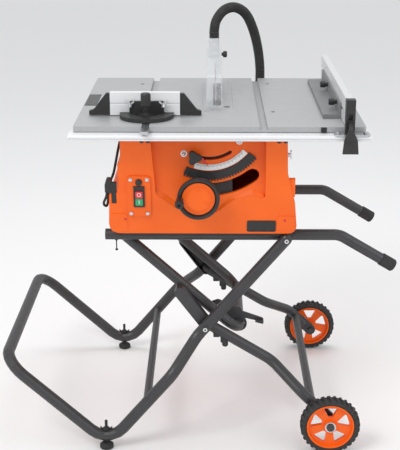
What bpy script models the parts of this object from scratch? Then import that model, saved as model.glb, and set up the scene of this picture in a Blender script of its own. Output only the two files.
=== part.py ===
"""Ten-inch jobsite table saw on a folding wheeled stand, modelled in metres with +Z up.

X runs to the right as the operator stands, Y runs away from the operator, and the floor is z = 0.
The stand is drawn open. Every moving piece has its origin on its joint's axis.
"""

import math

import bmesh
import bpy
import numpy as np
from mathutils import Matrix, Vector

# ---------------------------------------------------------------- driving dimensions

GAP = 0.0003  # between faces that touch
RUN = 0.0005  # radial clearance of a turning or sliding fit
CUT = 0.002  # how far a cutter runs past the face it opens

# table
TABLE_WIDTH = 0.735
TABLE_DEPTH = 0.646
TABLE_TOP = 0.905
TABLE_THICK = 0.0135
TABLE_CORNER = 0.006
TABLE_SKIN = 0.0055
SLOT_WIDTH = 0.0195
SLOT_DEPTH = 0.0095
LEFT_SLOT_X = -0.186
RIGHT_SLOT_X = 0.111
THROAT_X = -0.0035
THROAT_Y = 0.0645
THROAT_WIDTH = 0.083
THROAT_LENGTH = 0.369
THROAT_LEDGE = 0.006
THROAT_PLATE_THICK = 0.003
RIB = 0.006

# housing
HOUSING_OUTLINE = (
    (-0.253, 0.891, 0.004),
    (-0.2545, 0.806, 0.006),
    (-0.2625, 0.797, 0.006),
    (-0.2605, 0.740, 0.020),
    (-0.2670, 0.7145, 0.006),
    (-0.2860, 0.7135, 0.005),
    (-0.2910, 0.5985, 0.028),
    (0.208, 0.5985, 0.022),
    (0.199, 0.690, 0.040),
    (0.178, 0.772, 0.030),
    (0.173, 0.891, 0.004),
)
FRONT_SETBACK = 0.023  # housing front top edge behind the table's front edge
BACK_SETBACK = 0.043
FRONT_LEAN = 0.045  # the front face falls back this much from top to bottom
WALL = 0.005
RECESS_LEFT = -0.178
RECESS_RIGHT = 0.121
RECESS_FACE = -0.262

# blade, arbor and motor
TILT_X = -0.026
TILT_DEG = 45.0
BLADE_X = -0.008
BLADE_DIA = 0.254
BLADE_THICK = 0.0022
BLADE_TEETH = 40
CUT_HEIGHT = 0.042  # blade above the table at rest
ARBOR_R = 0.0079
FLANGE_R = 0.024
MOTOR_R = 0.052
MOTOR_DROP = 0.040
MOTOR_LENGTH = 0.150

# the tilting frame seen from the front, from the tilt axis
CARRIAGE_OUTLINE = (
    (-0.085, -0.022),
    (-0.010, -0.026),
    (0.060, -0.085),
    (0.062, -0.212),
    (-0.060, -0.216),
    (-0.085, -0.120),
)

# bevel controls on the front, as radii from the tilt axis
LOCK_SLOT_R = 0.098
SCALE_R = (0.114, 0.1295)
RACK_R = (0.132, 0.151)
RACK_TOOTH = 0.006
WHEEL_SLOT_R = 0.182
WHEEL_AXIS_R = 0.191
LOCK_ANGLE = -22.5
WHEEL_ANGLE = -8.1
HANDWHEEL_DIA = 0.110
HANDWHEEL_FACE = -0.330
SHAFT_R = 0.006

# front rail and rip fence
RAIL_OVERHANG = 0.010
RAIL_DEEP = 0.0365
RAIL_TALL = 0.0135
FENCE_X = 0.324
FENCE_WIDTH = 0.019
FENCE_TOP = 0.071  # above the table
FENCE_CLEAR = 0.0025
AUX_WIDTH = 0.047
AUX_FRONT = -0.226
AUX_BACK = 0.251

# mitre gauge
GAUGE_PIVOT_Y = -0.218
GAUGE_HEAD_R = 0.070
GAUGE_FENCE = (-0.284, -0.102)
GAUGE_FENCE_Y = -0.203
GAUGE_FENCE_TOP = 0.062
BAR_FRONT = -0.375
BAR_BACK = 0.060

# blade guard
GUARD_LEFT = -0.034
GUARD_RIGHT = 0.009
GUARD_FRONT = -0.140
GUARD_BACK = 0.166
GUARD_BOTTOM = 0.0095  # above the table
GUARD_WALL = 0.0025
RISER_Y = 0.212
HOSE_R = 0.0148

# stand tubes
RAIL_R = 0.015
LEG_R = 0.016
BRACE_R = 0.015
ARM_R = 0.015
CROSS_R = 0.011
SIDE_GAP = 0.002  # washer space between neighbouring tubes

# stand, in the X-Z plane
RAIL_LEFT = -0.304
RAIL_BEND = 0.325
RAIL_END = (0.470, 0.497)
PIN_Z = 0.581
BRACE_PIN_X = -0.268
LEG_PIN_X = 0.180
MAIN_PIVOT = (-0.035, 0.326)
LINK_PIVOT = (-0.1035, 0.418)
BRACE_CORNER = (0.060, 0.286)
FOOT_CORNER = (-0.300, 0.012)
LOOP_CORNER = (-0.573, 0.262)
ARM_KNEE = (0.150, 0.2126)
ARM_ELBOW = (0.235, 0.150)
LEG_CROSS_X = -0.193

# stand, across
BRACE_HALF = 0.180
FOOT_HALF = 0.327
ARM_HALF = 0.298
WHEEL_HALF = 0.340

# wheels and feet
WHEEL_R = 0.081
WHEEL_WIDTH = 0.037
WHEEL_X = 0.305
RIM_R = 0.0645
AXLE_R = 0.006
PAD_R = 0.019
PAD_HEIGHT = 0.017
STUD_R = 0.004

# bends and sheet of the stand
FOOT_BEND = 0.060
SEAM_SHARE = 0.34
ARM_BEND = 0.060
ARM_PLATE = 0.010
CHANNEL_SHEET = 0.003
LATCH_Y = -0.125
LATCH_SHEET = 0.005

# switch and reset button
SWITCH_X = -0.2075
SWITCH_Z = 0.7085
SWITCH_W = 0.061
SWITCH_H = 0.115
SWITCH_PLATE = 0.004
RESET_R = 0.0088
BUTTON_W = 0.019
BUTTON_H = 0.019
BUTTON_STROKE = 0.003

# fence lever, auxiliary fence screws, hood and dust port
LEVER_NECK = 0.0048
AUX_KNOBS = (0.075, -0.160)
HOOD_TOP = 0.100
HOOD_CORNER = 0.010
PORT = (0.128, 0.350, 0.750)

# power cord, its coil and its plug
CORD_R = 0.0035
COIL_R = 0.0385
COIL_HALF = 0.0073
COIL_LEAD = 0.0335
PLUG_FRONT = -0.2705
PLUG_TIP = (-0.2795, -0.2675, 0.688)
CORD_NAMES = ("power_cord", "cord_coil", "plug")

# ---------------------------------------------------------------- values that follow

TABLE_UNDER = TABLE_TOP - TABLE_THICK
TABLE_FRONT = -TABLE_DEPTH / 2
TABLE_BACK = TABLE_DEPTH / 2
HOUSING_FRONT = TABLE_FRONT + FRONT_SETBACK
HOUSING_BACK = TABLE_BACK - BACK_SETBACK
COIL_CENTRE = (-0.165, HOUSING_BACK + 0.0105, 0.690)
HOUSING_TOP = TABLE_UNDER - GAP
HOUSING_BOTTOM = min(point[1] for point in HOUSING_OUTLINE)
RAIL_Z = HOUSING_BOTTOM - RAIL_R - 0.0005
LEAN_SLOPE = FRONT_LEAN / (HOUSING_TOP - HOUSING_BOTTOM)
CAVITY_FRONT = RECESS_FACE + 0.0125
BLADE_Y = THROAT_Y
ARBOR_Z = TABLE_TOP + CUT_HEIGHT - BLADE_DIA / 2
RAIL_HALF = BRACE_HALF + BRACE_R + RAIL_R + SIDE_GAP
LEG_HALF = RAIL_HALF + RAIL_R + LEG_R + SIDE_GAP
BAR_RAIL_BACK = TABLE_FRONT - 0.0005
BAR_RAIL_FRONT = BAR_RAIL_BACK - RAIL_DEEP
BAR_RAIL_TOP = TABLE_UNDER - 0.0015
FENCE_LEFT = FENCE_X - FENCE_WIDTH / 2
FENCE_RIGHT = FENCE_X + FENCE_WIDTH / 2

# ---------------------------------------------------------------- colours

COLOURS = {
    "orange": ((0.90, 0.24, 0.02), 0.45, 0.0),
    "black": ((0.02, 0.02, 0.022), 0.55, 0.0),
    "rubber": ((0.03, 0.03, 0.03), 0.85, 0.0),
    "stand": ((0.065, 0.065, 0.07), 0.42, 0.3),
    "cast": ((0.72, 0.73, 0.74), 0.45, 0.9),
    "aluminium": ((0.82, 0.83, 0.84), 0.35, 1.0),
    "steel": ((0.70, 0.70, 0.72), 0.28, 1.0),
    "clear": ((0.86, 0.88, 0.88), 0.08, 0.0),
    "red": ((0.72, 0.02, 0.03), 0.35, 0.0),
    "green": ((0.02, 0.35, 0.12), 0.35, 0.0),
    "badge": ((0.03, 0.02, 0.02), 0.40, 0.0),
}


def clear_scene():
    for obj in list(bpy.data.objects):
        bpy.data.objects.remove(obj, do_unlink=True)


def material(name):
    found = bpy.data.materials.get(name)
    if found:
        return found
    colour, rough, metal = COLOURS[name]
    made = bpy.data.materials.new(name)
    made.use_nodes = True
    shader = made.node_tree.nodes["Principled BSDF"]
    shader.inputs["Base Color"].default_value = (*colour, 1.0)
    shader.inputs["Roughness"].default_value = rough
    shader.inputs["Metallic"].default_value = metal
    if name == "clear":
        shader.inputs["Transmission Weight"].default_value = 0.9
    return made


# ---------------------------------------------------------------- shape helpers


def add_object(name, bm, colour, origin=(0.0, 0.0, 0.0)):
    """An object from world-space geometry, with its origin moved to the given point."""
    bmesh.ops.remove_doubles(bm, verts=bm.verts, dist=1e-6)
    bmesh.ops.recalc_face_normals(bm, faces=bm.faces)
    mesh = bpy.data.meshes.new(name)
    bmesh.ops.translate(bm, verts=bm.verts, vec=-Vector(origin))
    bm.to_mesh(mesh)
    bm.free()
    mesh.shade_smooth()
    mesh.set_sharp_from_angle(angle=math.radians(35))
    obj = bpy.data.objects.new(name, mesh)
    obj.location = origin
    obj.data.materials.append(material(colour))
    bpy.context.scene.collection.objects.link(obj)
    return obj


def helper(bm, name="cutter"):
    obj = add_object(name, bm, "black")
    obj.hide_render = True
    obj.display_type = "WIRE"
    return obj


def boolean(obj, bm, operation):
    tool = helper(bm, f"{obj.name}_{operation.lower()}")
    step = obj.modifiers.new(operation.title(), "BOOLEAN")
    step.operation = operation
    step.solver = "EXACT"
    step.object = tool
    return obj


def cut(obj, *tools):
    for bm in tools:
        boolean(obj, bm, "DIFFERENCE")
    return obj


def join(obj, *tools):
    for bm in tools:
        boolean(obj, bm, "UNION")
    return obj


def bevel(obj, width, segments=2, angle=40):
    step = obj.modifiers.new("Bevel", "BEVEL")
    step.width = width
    step.segments = segments
    step.limit_method = "ANGLE"
    step.angle_limit = math.radians(angle)
    return obj


def rounded(points, segments=4):
    """Closed outline from corners (u, v, radius); a corner of radius 0 stays sharp."""
    out = []
    count = len(points)
    for i, corner in enumerate(points):
        here = Vector(corner[:2])
        radius = corner[2] if len(corner) > 2 else 0.0
        before = Vector(points[i - 1][:2]) - here
        after = Vector(points[(i + 1) % count][:2]) - here
        if radius <= 0:
            out.append(tuple(here))
            continue
        out.extend(
            tuple(p)
            for p in arc_between(here, before.normalized(), after.normalized(), radius, segments)
        )
    return out


def arc_between(corner, toward_a, toward_b, radius, segments):
    """Points of the fillet at a corner, from the side of a to the side of b."""
    half = toward_a.angle(toward_b) / 2
    reach = radius / math.tan(half)
    centre = corner + (toward_a + toward_b).normalized() * (radius / math.sin(half))
    start = corner + toward_a * reach - centre
    end = corner + toward_b * reach - centre
    turn = start.angle(end)
    points = []
    for k in range(segments + 1):
        share = k / segments
        blend = (start * math.sin((1 - share) * turn) + end * math.sin(share * turn)) / math.sin(turn)
        points.append(centre + blend)
    return points


def place(u, v, w, axis):
    """A point with outline coordinates (u, v) and w along the axis."""
    return {"X": (w, u, v), "Y": (u, w, v), "Z": (u, v, w)}[axis]


def prism(outline, axis, low, high, bm=None):
    """A closed prism: X takes (y, z) outlines, Y takes (x, z) and Z takes (x, y)."""
    bm = bm or bmesh.new()
    lower = [bm.verts.new(place(u, v, low, axis)) for u, v in outline]
    upper = [bm.verts.new(place(u, v, high, axis)) for u, v in outline]
    bm.faces.new(lower)
    bm.faces.new(list(reversed(upper)))
    for i in range(len(outline)):
        j = (i + 1) % len(outline)
        bm.faces.new((lower[i], upper[i], upper[j], lower[j]))
    return bm


def rectangle(u0, u1, v0, v1, radius=0.0, segments=3):
    return rounded(((u0, v0, radius), (u1, v0, radius), (u1, v1, radius), (u0, v1, radius)), segments)


def block(x0, x1, y0, y1, z0, z1):
    return prism(rectangle(x0, x1, y0, y1), "Z", z0, z1)


def circle(u, v, radius, count=16, turn=0.0):
    step = 2 * math.pi / count
    return [
        (u + radius * math.cos(turn + k * step), v + radius * math.sin(turn + k * step))
        for k in range(count)
    ]


def rod(axis, u, v, radius, low, high, count=16, turn=0.0):
    return prism(circle(u, v, radius, count, turn), axis, low, high)


def stadium(a, b, radius, count=8):
    """Outline with round ends about the points a and b."""
    along = math.atan2(b[1] - a[1], b[0] - a[0])
    points = []
    for centre, start in ((b, along - math.pi / 2), (a, along + math.pi / 2)):
        for k in range(count + 1):
            angle = start + math.pi * k / count
            points.append((centre[0] + radius * math.cos(angle), centre[1] + radius * math.sin(angle)))
    return points


def tilt_point(radius, degrees):
    """A point in the X-Z plane at a radius from the tilt axis, with degrees from straight down."""
    angle = math.radians(degrees)
    return (TILT_X + radius * math.sin(angle), TABLE_TOP - radius * math.cos(angle))


def arc_band(inner, outer, first, last, count=12):
    """Outline of a band of an annulus about the tilt axis."""
    steps = [first + (last - first) * k / count for k in range(count + 1)]
    return [tilt_point(inner, a) for a in steps] + [tilt_point(outer, a) for a in reversed(steps)]


def arc_slot(radius, half, first, last, count=12):
    """Outline of a round-ended slot along an arc about the tilt axis."""
    steps = [first + (last - first) * k / count for k in range(count + 1)]
    points = [tilt_point(radius - half, a) for a in steps]
    points += round_end(radius, half, last, 1)
    points += [tilt_point(radius + half, a) for a in reversed(steps)]
    points += round_end(radius, half, first, -1)
    return points


def round_end(radius, half, degrees, sign, count=5):
    centre = Vector(tilt_point(radius, degrees))
    outward = (Vector(tilt_point(radius + 1, degrees)) - centre).normalized()
    along = Vector((-outward.y, outward.x)) * sign
    if (Vector(tilt_point(radius, degrees + sign)) - centre).dot(along) < 0:
        along = -along
    points = []
    for k in range(1, count):
        angle = math.pi * k / count
        across = sign * outward * math.cos(angle)
        points.append(tuple(centre - half * across + half * along * math.sin(angle)))
    return points


def smooth_path(points, bend, segments=5):
    """A path of straight runs with a fillet of the bend radius at each inner point."""
    path = [Vector(points[0])]
    for before, here, after in zip(points, points[1:], points[2:]):
        here = Vector(here)
        back = (Vector(before) - here).normalized()
        ahead = (Vector(after) - here).normalized()
        if back.angle(ahead) > math.radians(179):
            continue
        path.extend(arc_between(here, back, ahead, bend, segments))
    path.append(Vector(points[-1]))
    return path


def sweep(path, radius, sides=12, dome=(False, False)):
    """A closed tube along a path of points; a domed end reaches one radius past its point."""
    tangents = []
    for i in range(len(path)):
        ahead = path[min(i + 1, len(path) - 1)] - path[max(i - 1, 0)]
        tangents.append(ahead.normalized())
    side = tangents[0].orthogonal().normalized()
    if abs(tangents[0].y) < 0.9:
        side = Vector((0, 1, 0)).cross(tangents[0]).normalized()
    rings = []
    for i, (point, tangent) in enumerate(zip(path, tangents)):
        side = (side - tangent * side.dot(tangent)).normalized()
        rings.append((point, tangent, side.copy(), 1.0))
    rings = dome_rings(rings, radius, dome)
    bm = bmesh.new()
    loops = []
    for point, tangent, across, scale in rings:
        up = tangent.cross(across)
        ring = []
        for k in range(sides):
            angle = 2 * math.pi * (k + 0.5) / sides
            spoke = across * math.cos(angle) + up * math.sin(angle)
            ring.append(bm.verts.new(point + spoke * radius * scale))
        loops.append(ring)
    skin(bm, loops)
    return bm


def dome_rings(rings, radius, dome, steps=3):
    """Adds the shrinking rings of a round end before the first ring or after the last."""
    first, last = rings[0], rings[-1]
    before, after = [], []
    for k in range(1, steps + 1):
        angle = math.pi / 2 * k / (steps + 0.4)
        reach, scale = radius * math.sin(angle), math.cos(angle)
        before.insert(0, (first[0] - first[1] * reach, first[1], first[2], scale))
        after.append((last[0] + last[1] * reach, last[1], last[2], scale))
    return (before if dome[0] else []) + rings + (after if dome[1] else [])


def skin(bm, loops, closed=False):
    """Faces between rings of equal count, with both ends capped unless the rings close."""
    count = len(loops[0])
    pairs = list(zip(loops, loops[1:]))
    if closed:
        pairs.append((loops[-1], loops[0]))
    for low, high in pairs:
        for k in range(count):
            m = (k + 1) % count
            bm.faces.new((low[k], low[m], high[m], high[k]))
    if not closed:
        bm.faces.new(list(reversed(loops[0])))
        bm.faces.new(loops[-1])


def turned(profile, centre, axis, count=24, ring=False, turn=0.0):
    """A body of revolution: profile points are (radius, distance along the axis from the centre)."""
    centre = Vector(centre)
    axis = Vector(axis).normalized()
    side = axis.orthogonal().normalized()
    if abs(axis.z) < 0.9:
        side = Vector((0, 0, 1))
        side = (side - axis * side.dot(axis)).normalized()
    up = axis.cross(side)
    bm = bmesh.new()
    loops = []
    for radius, along in profile:
        loop = []
        for k in range(count):
            angle = turn + 2 * math.pi * k / count
            spoke = side * math.cos(angle) + up * math.sin(angle)
            loop.append(bm.verts.new(centre + axis * along + spoke * radius))
        loops.append(loop)
    skin(bm, loops, closed=ring)
    return bm


def transformed(bm, matrix):
    bmesh.ops.transform(bm, matrix=matrix, verts=bm.verts)
    return bm


def mirror_name(base, side):
    return f"{base}_{'front' if side < 0 else 'back'}"


def at_side(points, side):
    return [(x, y * side, z) for x, y, z in points]


# ---------------------------------------------------------------- stand


def stand_rail(side):
    y = RAIL_HALF * side
    points = ((RAIL_LEFT, y, RAIL_Z), (RAIL_BEND, y, RAIL_Z), (RAIL_END[0], y, RAIL_END[1]))
    return add_object(mirror_name("rail", side), sweep(smooth_path(points, 0.050), RAIL_R, 14), "stand")


def rail_grip(side):
    """Rubber sleeve with a closed end over the last stretch of the rail's handle."""
    end = Vector((RAIL_END[0], RAIL_HALF * side, RAIL_END[1]))
    along = (end - Vector((RAIL_BEND, RAIL_HALF * side, RAIL_Z))).normalized()
    bore = RAIL_R / math.cos(math.pi / 16) + GAP
    outer = RAIL_R + 0.0025
    profile = ((bore, -0.035), (outer, -0.035), (outer, 0.002), (outer - 0.003, 0.006), (0.0005, 0.006))
    inside = ((0.0005, GAP), (bore, GAP))
    bm = turned(profile + inside, end, along, 16, ring=True)
    obj = add_object(mirror_name("rail_grip", side), bm, "rubber")
    return join(obj, turned(((0.002, GAP), (0.002, 0.006)), end, along, 12))


def foot_centre():
    """Centre of the foot bend's arc, in the X-Z plane; the arc's lowest point is right below it."""
    corner = Vector(FOOT_CORNER)
    to_leg = (Vector(MAIN_PIVOT) - corner).normalized()
    to_loop = (Vector(LOOP_CORNER) - corner).normalized()
    half = to_leg.angle(to_loop) / 2
    return corner + (to_leg + to_loop).normalized() * (FOOT_BEND / math.sin(half))


def leg_seam():
    corner = Vector(FOOT_CORNER)
    return corner + (Vector(LOOP_CORNER) - corner) * SEAM_SHARE


def leg_points():
    """The leg tube's corners, from its top pin to the seam with the loop."""
    top = Vector((LEG_PIN_X, PIN_Z))
    pivot = Vector(MAIN_PIVOT)
    corner = Vector(FOOT_CORNER)
    run = corner - pivot
    first = pivot + run * 0.085
    second = pivot + run * 0.33
    seam = leg_seam()
    return (
        (top.x, LEG_HALF, top.y),
        (first.x, LEG_HALF, first.y),
        (second.x, FOOT_HALF, second.y),
        (corner.x, FOOT_HALF, corner.y),
        (seam.x, FOOT_HALF, seam.y),
    )


def leg(side):
    path = smooth_path(at_side(leg_points(), side), FOOT_BEND)
    obj = add_object(
        mirror_name("leg", side), sweep(path, LEG_R, 14, dome=(True, False)), "stand", leg_pin(side)
    )
    low = foot_centre()
    hole = rod("Z", low.x, FOOT_HALF * side, STUD_R + RUN, 0.0, 0.12, 12)
    return cut(obj, hole)


def leg_pin(side):
    return (LEG_PIN_X, LEG_HALF * side, PIN_Z)


def leg_loop():
    """The U-shaped end of the foot frame, plugged into both legs."""
    seam = leg_seam()
    corner = Vector(LOOP_CORNER)
    start = seam + (corner - seam).normalized() * GAP
    points = (
        (start.x, -FOOT_HALF, start.y),
        (corner.x, -FOOT_HALF, corner.y),
        (corner.x, FOOT_HALF, corner.y),
        (start.x, FOOT_HALF, start.y),
    )
    return add_object("leg_loop", sweep(smooth_path(points, 0.065, 6), LEG_R, 14), "stand", leg_pin(-1))


def leg_cross():
    """Low cross tube between the legs, its ends coped to the leg tubes."""
    pivot = Vector(MAIN_PIVOT)
    run = Vector(FOOT_CORNER) - pivot
    z = pivot.y + run.y * (LEG_CROSS_X - pivot.x) / run.x
    obj = add_object(
        "leg_cross",
        rod("Y", LEG_CROSS_X, z, CROSS_R, -FOOT_HALF, FOOT_HALF, 12),
        "stand",
        leg_pin(-1),
    )
    for side in (-1, 1):
        path = smooth_path(at_side(leg_points(), side), FOOT_BEND)
        cut(obj, sweep(path, LEG_R + GAP, 14))
    return obj


def levelling_foot(side):
    """Rubber pad on a threaded stud that passes up through the leg's foot bend."""
    low = foot_centre()
    tube_under = low.y - FOOT_BEND - LEG_R
    tube_over = low.y - FOOT_BEND + LEG_R
    nut = tube_over + 0.001
    profile = (
        (PAD_R - 0.003, 0.0),
        (PAD_R, 0.003),
        (PAD_R, PAD_HEIGHT - 0.006),
        (PAD_R - 0.007, PAD_HEIGHT),
        (STUD_R, PAD_HEIGHT),
        (STUD_R, tube_under - 0.001 - 0.0005),
        (STUD_R, nut),
        (0.009, nut + 0.001),
        (0.009, nut + 0.006),
        (STUD_R, nut + 0.007),
        (STUD_R, nut + 0.028),
        (0.001, nut + 0.029),
    )
    centre = (low.x, FOOT_HALF * side, 0.0)
    return add_object(
        mirror_name("levelling_foot", side),
        turned(profile, centre, (0, 0, 1), 16),
        "rubber",
        centre,
    )


def main_pin(side):
    return (MAIN_PIVOT[0], RAIL_HALF * side, MAIN_PIVOT[1])


def arm_points():
    hub = (WHEEL_X, WHEEL_R)
    return (
        (MAIN_PIVOT[0], RAIL_HALF, MAIN_PIVOT[1]),
        (ARM_KNEE[0], RAIL_HALF, ARM_KNEE[1]),
        (ARM_ELBOW[0], ARM_HALF, ARM_ELBOW[1]),
        (hub[0] - 0.024, ARM_HALF, hub[1] + 0.0235),
    )


def wheel_arm(side):
    """Sheet channel from the link pivot to the main pivot, then a tube out to the flattened axle end."""
    points = at_side(arm_points(), side)
    path = smooth_path(points, ARM_BEND)
    obj = add_object(
        mirror_name("wheel_arm", side), sweep(path, ARM_R, 14, dome=(True, True)), "stand", main_pin(side)
    )
    join(obj, arm_channel(side), arm_plate(side), axle(side))
    return obj


def arm_channel(side):
    """Channel section with its web outside and its flanges turned in."""
    low, high = sorted(((RAIL_HALF - ARM_R) * side, (RAIL_HALF + ARM_R) * side))
    outer = prism(stadium(LINK_PIVOT, MAIN_PIVOT, ARM_R + 0.001, 6), "Y", low, high)
    web = high - CHANNEL_SHEET if side > 0 else low + CHANNEL_SHEET
    inner_low, inner_high = sorted(((RAIL_HALF - ARM_R - CUT) * side, web))
    shell = helper(outer, "channel_outer")
    pocket = stadium(LINK_PIVOT, MAIN_PIVOT, ARM_R + 0.001 - CHANNEL_SHEET, 6)
    cut(shell, prism(pocket, "Y", inner_low, inner_high))
    bm = bmesh.new()
    graph = bpy.context.evaluated_depsgraph_get()
    bm.from_object(shell, graph)
    return bm


def arm_plate(side):
    hub = (WHEEL_X, WHEEL_R)
    start = (hub[0] - 0.034, hub[1] + 0.0335)
    low, high = sorted(((ARM_HALF - ARM_PLATE / 2) * side, (ARM_HALF + ARM_PLATE / 2) * side))
    return prism(stadium(start, hub, 0.0165, 6), "Y", low, high)


def axle(side):
    """Axle bolt with a nut inside the arm and a head outside the wheel."""
    inner = ARM_HALF - ARM_PLATE / 2
    outer = WHEEL_HALF + WHEEL_WIDTH / 2
    profile = (
        (0.001, inner - 0.009),
        (0.009, inner - 0.009),
        (0.009, inner + 0.001),
        (AXLE_R + 0.003, inner + 0.001),
        (AXLE_R + 0.003, WHEEL_HALF - WHEEL_WIDTH / 2 - 0.0055),
        (AXLE_R, WHEEL_HALF - WHEEL_WIDTH / 2 - 0.005),
        (AXLE_R, outer - 0.0025),
        (0.0105, outer - 0.0025),
        (0.0105, outer + 0.0035),
        (0.001, outer + 0.0035),
    )
    return turned(profile, (WHEEL_X, 0, WHEEL_R), (0, side, 0), 16)


def wheel_cross():
    """Cross tube between the wheel arms, coped to them."""
    elbow = Vector(ARM_ELBOW)
    hub = Vector((WHEEL_X, WHEEL_R))
    centre = elbow + (hub - elbow) * 0.30
    obj = add_object(
        "wheel_cross", rod(
            "Y",
            centre.x,
            centre.y,
            CROSS_R + 0.001,
            -ARM_HALF,
            ARM_HALF,
            12,
        ), "stand", main_pin(-1)
    )
    for side in (-1, 1):
        cut(
            obj,
            sweep(smooth_path(at_side(arm_points(), side), ARM_BEND), ARM_R + GAP, 14, dome=(True, True)),
        )
    return obj


def tyre(side):
    hub = (WHEEL_X, WHEEL_HALF * side, WHEEL_R)
    half = WHEEL_WIDTH / 2
    profile = (
        (RIM_R, -half + 0.003),
        (RIM_R + 0.003, -half),
        (WHEEL_R - 0.006, -half + 0.001),
        (WHEEL_R - 0.0005, -half + 0.007),
        (WHEEL_R, 0.0),
        (WHEEL_R - 0.0005, half - 0.007),
        (WHEEL_R - 0.006, half - 0.001),
        (RIM_R + 0.003, half),
        (RIM_R, half - 0.003),
    )
    return add_object(
        mirror_name("tyre", side),
        turned(profile, hub, (0, 1, 0), 40, ring=True),
        "rubber",
        hub,
    )


def rim(side):
    """Five-spoke wheel: a rim barrel, a sunk web with five windows and a hub boss."""
    hub = (WHEEL_X, WHEEL_HALF * side, WHEEL_R)
    half = WHEEL_WIDTH / 2 - 0.002
    outer = RIM_R - GAP
    bore = AXLE_R + RUN
    web = 0.006
    boss = WHEEL_WIDTH / 2 - 0.004
    profile = (
        (bore, -boss),
        (0.017, -boss),
        (0.018, -web),
        (outer - 0.006, -web),
        (outer - 0.004, -half),
        (outer, -half),
        (outer, half),
        (outer - 0.004, half),
        (outer - 0.006, web),
        (0.018, web),
        (0.017, boss),
        (bore, boss),
    )
    obj = add_object(
        mirror_name("rim", side),
        turned(profile, hub, (0, 1, 0), 40, ring=True),
        "orange",
        hub,
    )
    for k in range(5):
        cut(obj, rim_window(hub, k))
    return obj


def rim_window(hub, k):
    middle = math.radians(18 + 72 * k)
    inner, outer = 0.023, RIM_R - 0.009
    points = []
    for radius, spread in ((inner, 13), (outer, 22)):
        spread = math.radians(spread)
        order = (-1, 1) if radius == inner else (1, -1)
        for sign in order:
            angle = middle + sign * spread
            points.append((hub[0] + radius * math.cos(angle), hub[2] + radius * math.sin(angle), 0.003))
    return prism(rounded(points, 2), "Y", hub[1] - 0.03, hub[1] + 0.03)


def brace():
    """U-shaped inner frame, pinned inside the rails' left ends."""
    points = (
        (BRACE_PIN_X, -BRACE_HALF, PIN_Z),
        (BRACE_CORNER[0], -BRACE_HALF, BRACE_CORNER[1]),
        (BRACE_CORNER[0], BRACE_HALF, BRACE_CORNER[1]),
        (BRACE_PIN_X, BRACE_HALF, PIN_Z),
    )
    bm = sweep(smooth_path(points, 0.050, 6), BRACE_R - 0.0003, 14, dome=(True, True))
    return add_object("brace", bm, "stand", (BRACE_PIN_X, 0.0, PIN_Z))


# ---------------------------------------------------------------- housing and table


def face_y(z):
    """The leaning front face of the housing at a height."""
    return HOUSING_FRONT + (HOUSING_TOP - z) * LEAN_SLOPE


def face_matrix(x, z, proud=0.0):
    """A frame on the front face: its Y axis runs into the housing and its origin stands proud of the face."""
    lean = math.atan(LEAN_SLOPE)
    turn = Matrix.Rotation(lean, 4, "X")
    point = Vector((x, face_y(z), z)) - turn @ Vector((0, proud, 0))
    return Matrix.Translation(point) @ turn


def housing_outline():
    """The housing's corners in the X-Z plane, with its top edge just under the table."""
    return [(x, HOUSING_TOP if z > 0.88 else z, radius) for x, z, radius in HOUSING_OUTLINE]


def inset_outline(points, distance):
    """The corners of an outline moved in by a wall's thickness."""
    corners = [Vector(point[:2]) for point in points]
    inner = []
    for i, (x, z, radius) in enumerate(points):
        here = corners[i]
        before = (here - corners[i - 1]).normalized()
        after = (corners[(i + 1) % len(corners)] - here).normalized()
        normal_a = Vector((-before.y, before.x))
        normal_b = Vector((-after.y, after.x))
        moved = here + (normal_a + normal_b) * (distance / (1 + normal_a.dot(normal_b)))
        inner.append((moved.x, moved.y, max(radius - distance, 0.0)))
    return inner


def cavity_outline():
    """The hollow inside the walls, open at the top."""
    inner = inset_outline(housing_outline(), WALL)
    return [(x, HOUSING_TOP + CUT if z > 0.88 - WALL else z, radius) for x, z, radius in inner]


def housing():
    """Moulded body: leaning front, sunk control field with arc slots, open top under the table."""
    bm = prism(rounded(housing_outline(), 4), "Y", HOUSING_FRONT, HOUSING_BACK)
    for vert in bm.verts:
        if vert.co.y < 0:
            vert.co.y = face_y(vert.co.z)
    obj = add_object("housing", bm, "orange")
    bevel(obj, 0.004, 2)
    cut(obj, prism(rounded(cavity_outline(), 4), "Y", CAVITY_FRONT, HOUSING_BACK - WALL))
    cut(obj, control_recess())
    cut(
        obj,
        prism(arc_slot(LOCK_SLOT_R, 0.0045, -26, 34, 10), "Y", RECESS_FACE - 0.01, CAVITY_FRONT + CUT),
    )
    cut(
        obj,
        prism(arc_slot(WHEEL_SLOT_R, 0.018, -14, 38.5, 12), "Y", RECESS_FACE - 0.03, CAVITY_FRONT + CUT),
    )
    cut(obj, switch_pocket())
    cut(
        obj,
        block(PLUG_TIP[0] - RUN, PLUG_TIP[1] + RUN, -0.300, PLUG_FRONT + 0.0155, PLUG_TIP[2] - RUN, 0.725),
    )
    join(obj, *cord_outlet())
    return obj


def cord_outlet():
    """Boss on the rear wall with a sleeve that leads the cord sideways into its coil."""
    x, y, z = COIL_CENTRE
    z -= COIL_R
    x -= COIL_LEAD
    boss = block(x - 0.036, x - 0.020, HOUSING_BACK - 0.002, y + 0.008, z - 0.010, z + 0.010)
    sleeve = turned(
        ((0.001, 0.0), (0.0052, 0.0), (0.0065, 0.022), (0.001, 0.026)),
        (x, y, z),
        (-1, 0, 0),
        14,
    )
    return boss, sleeve


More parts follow.
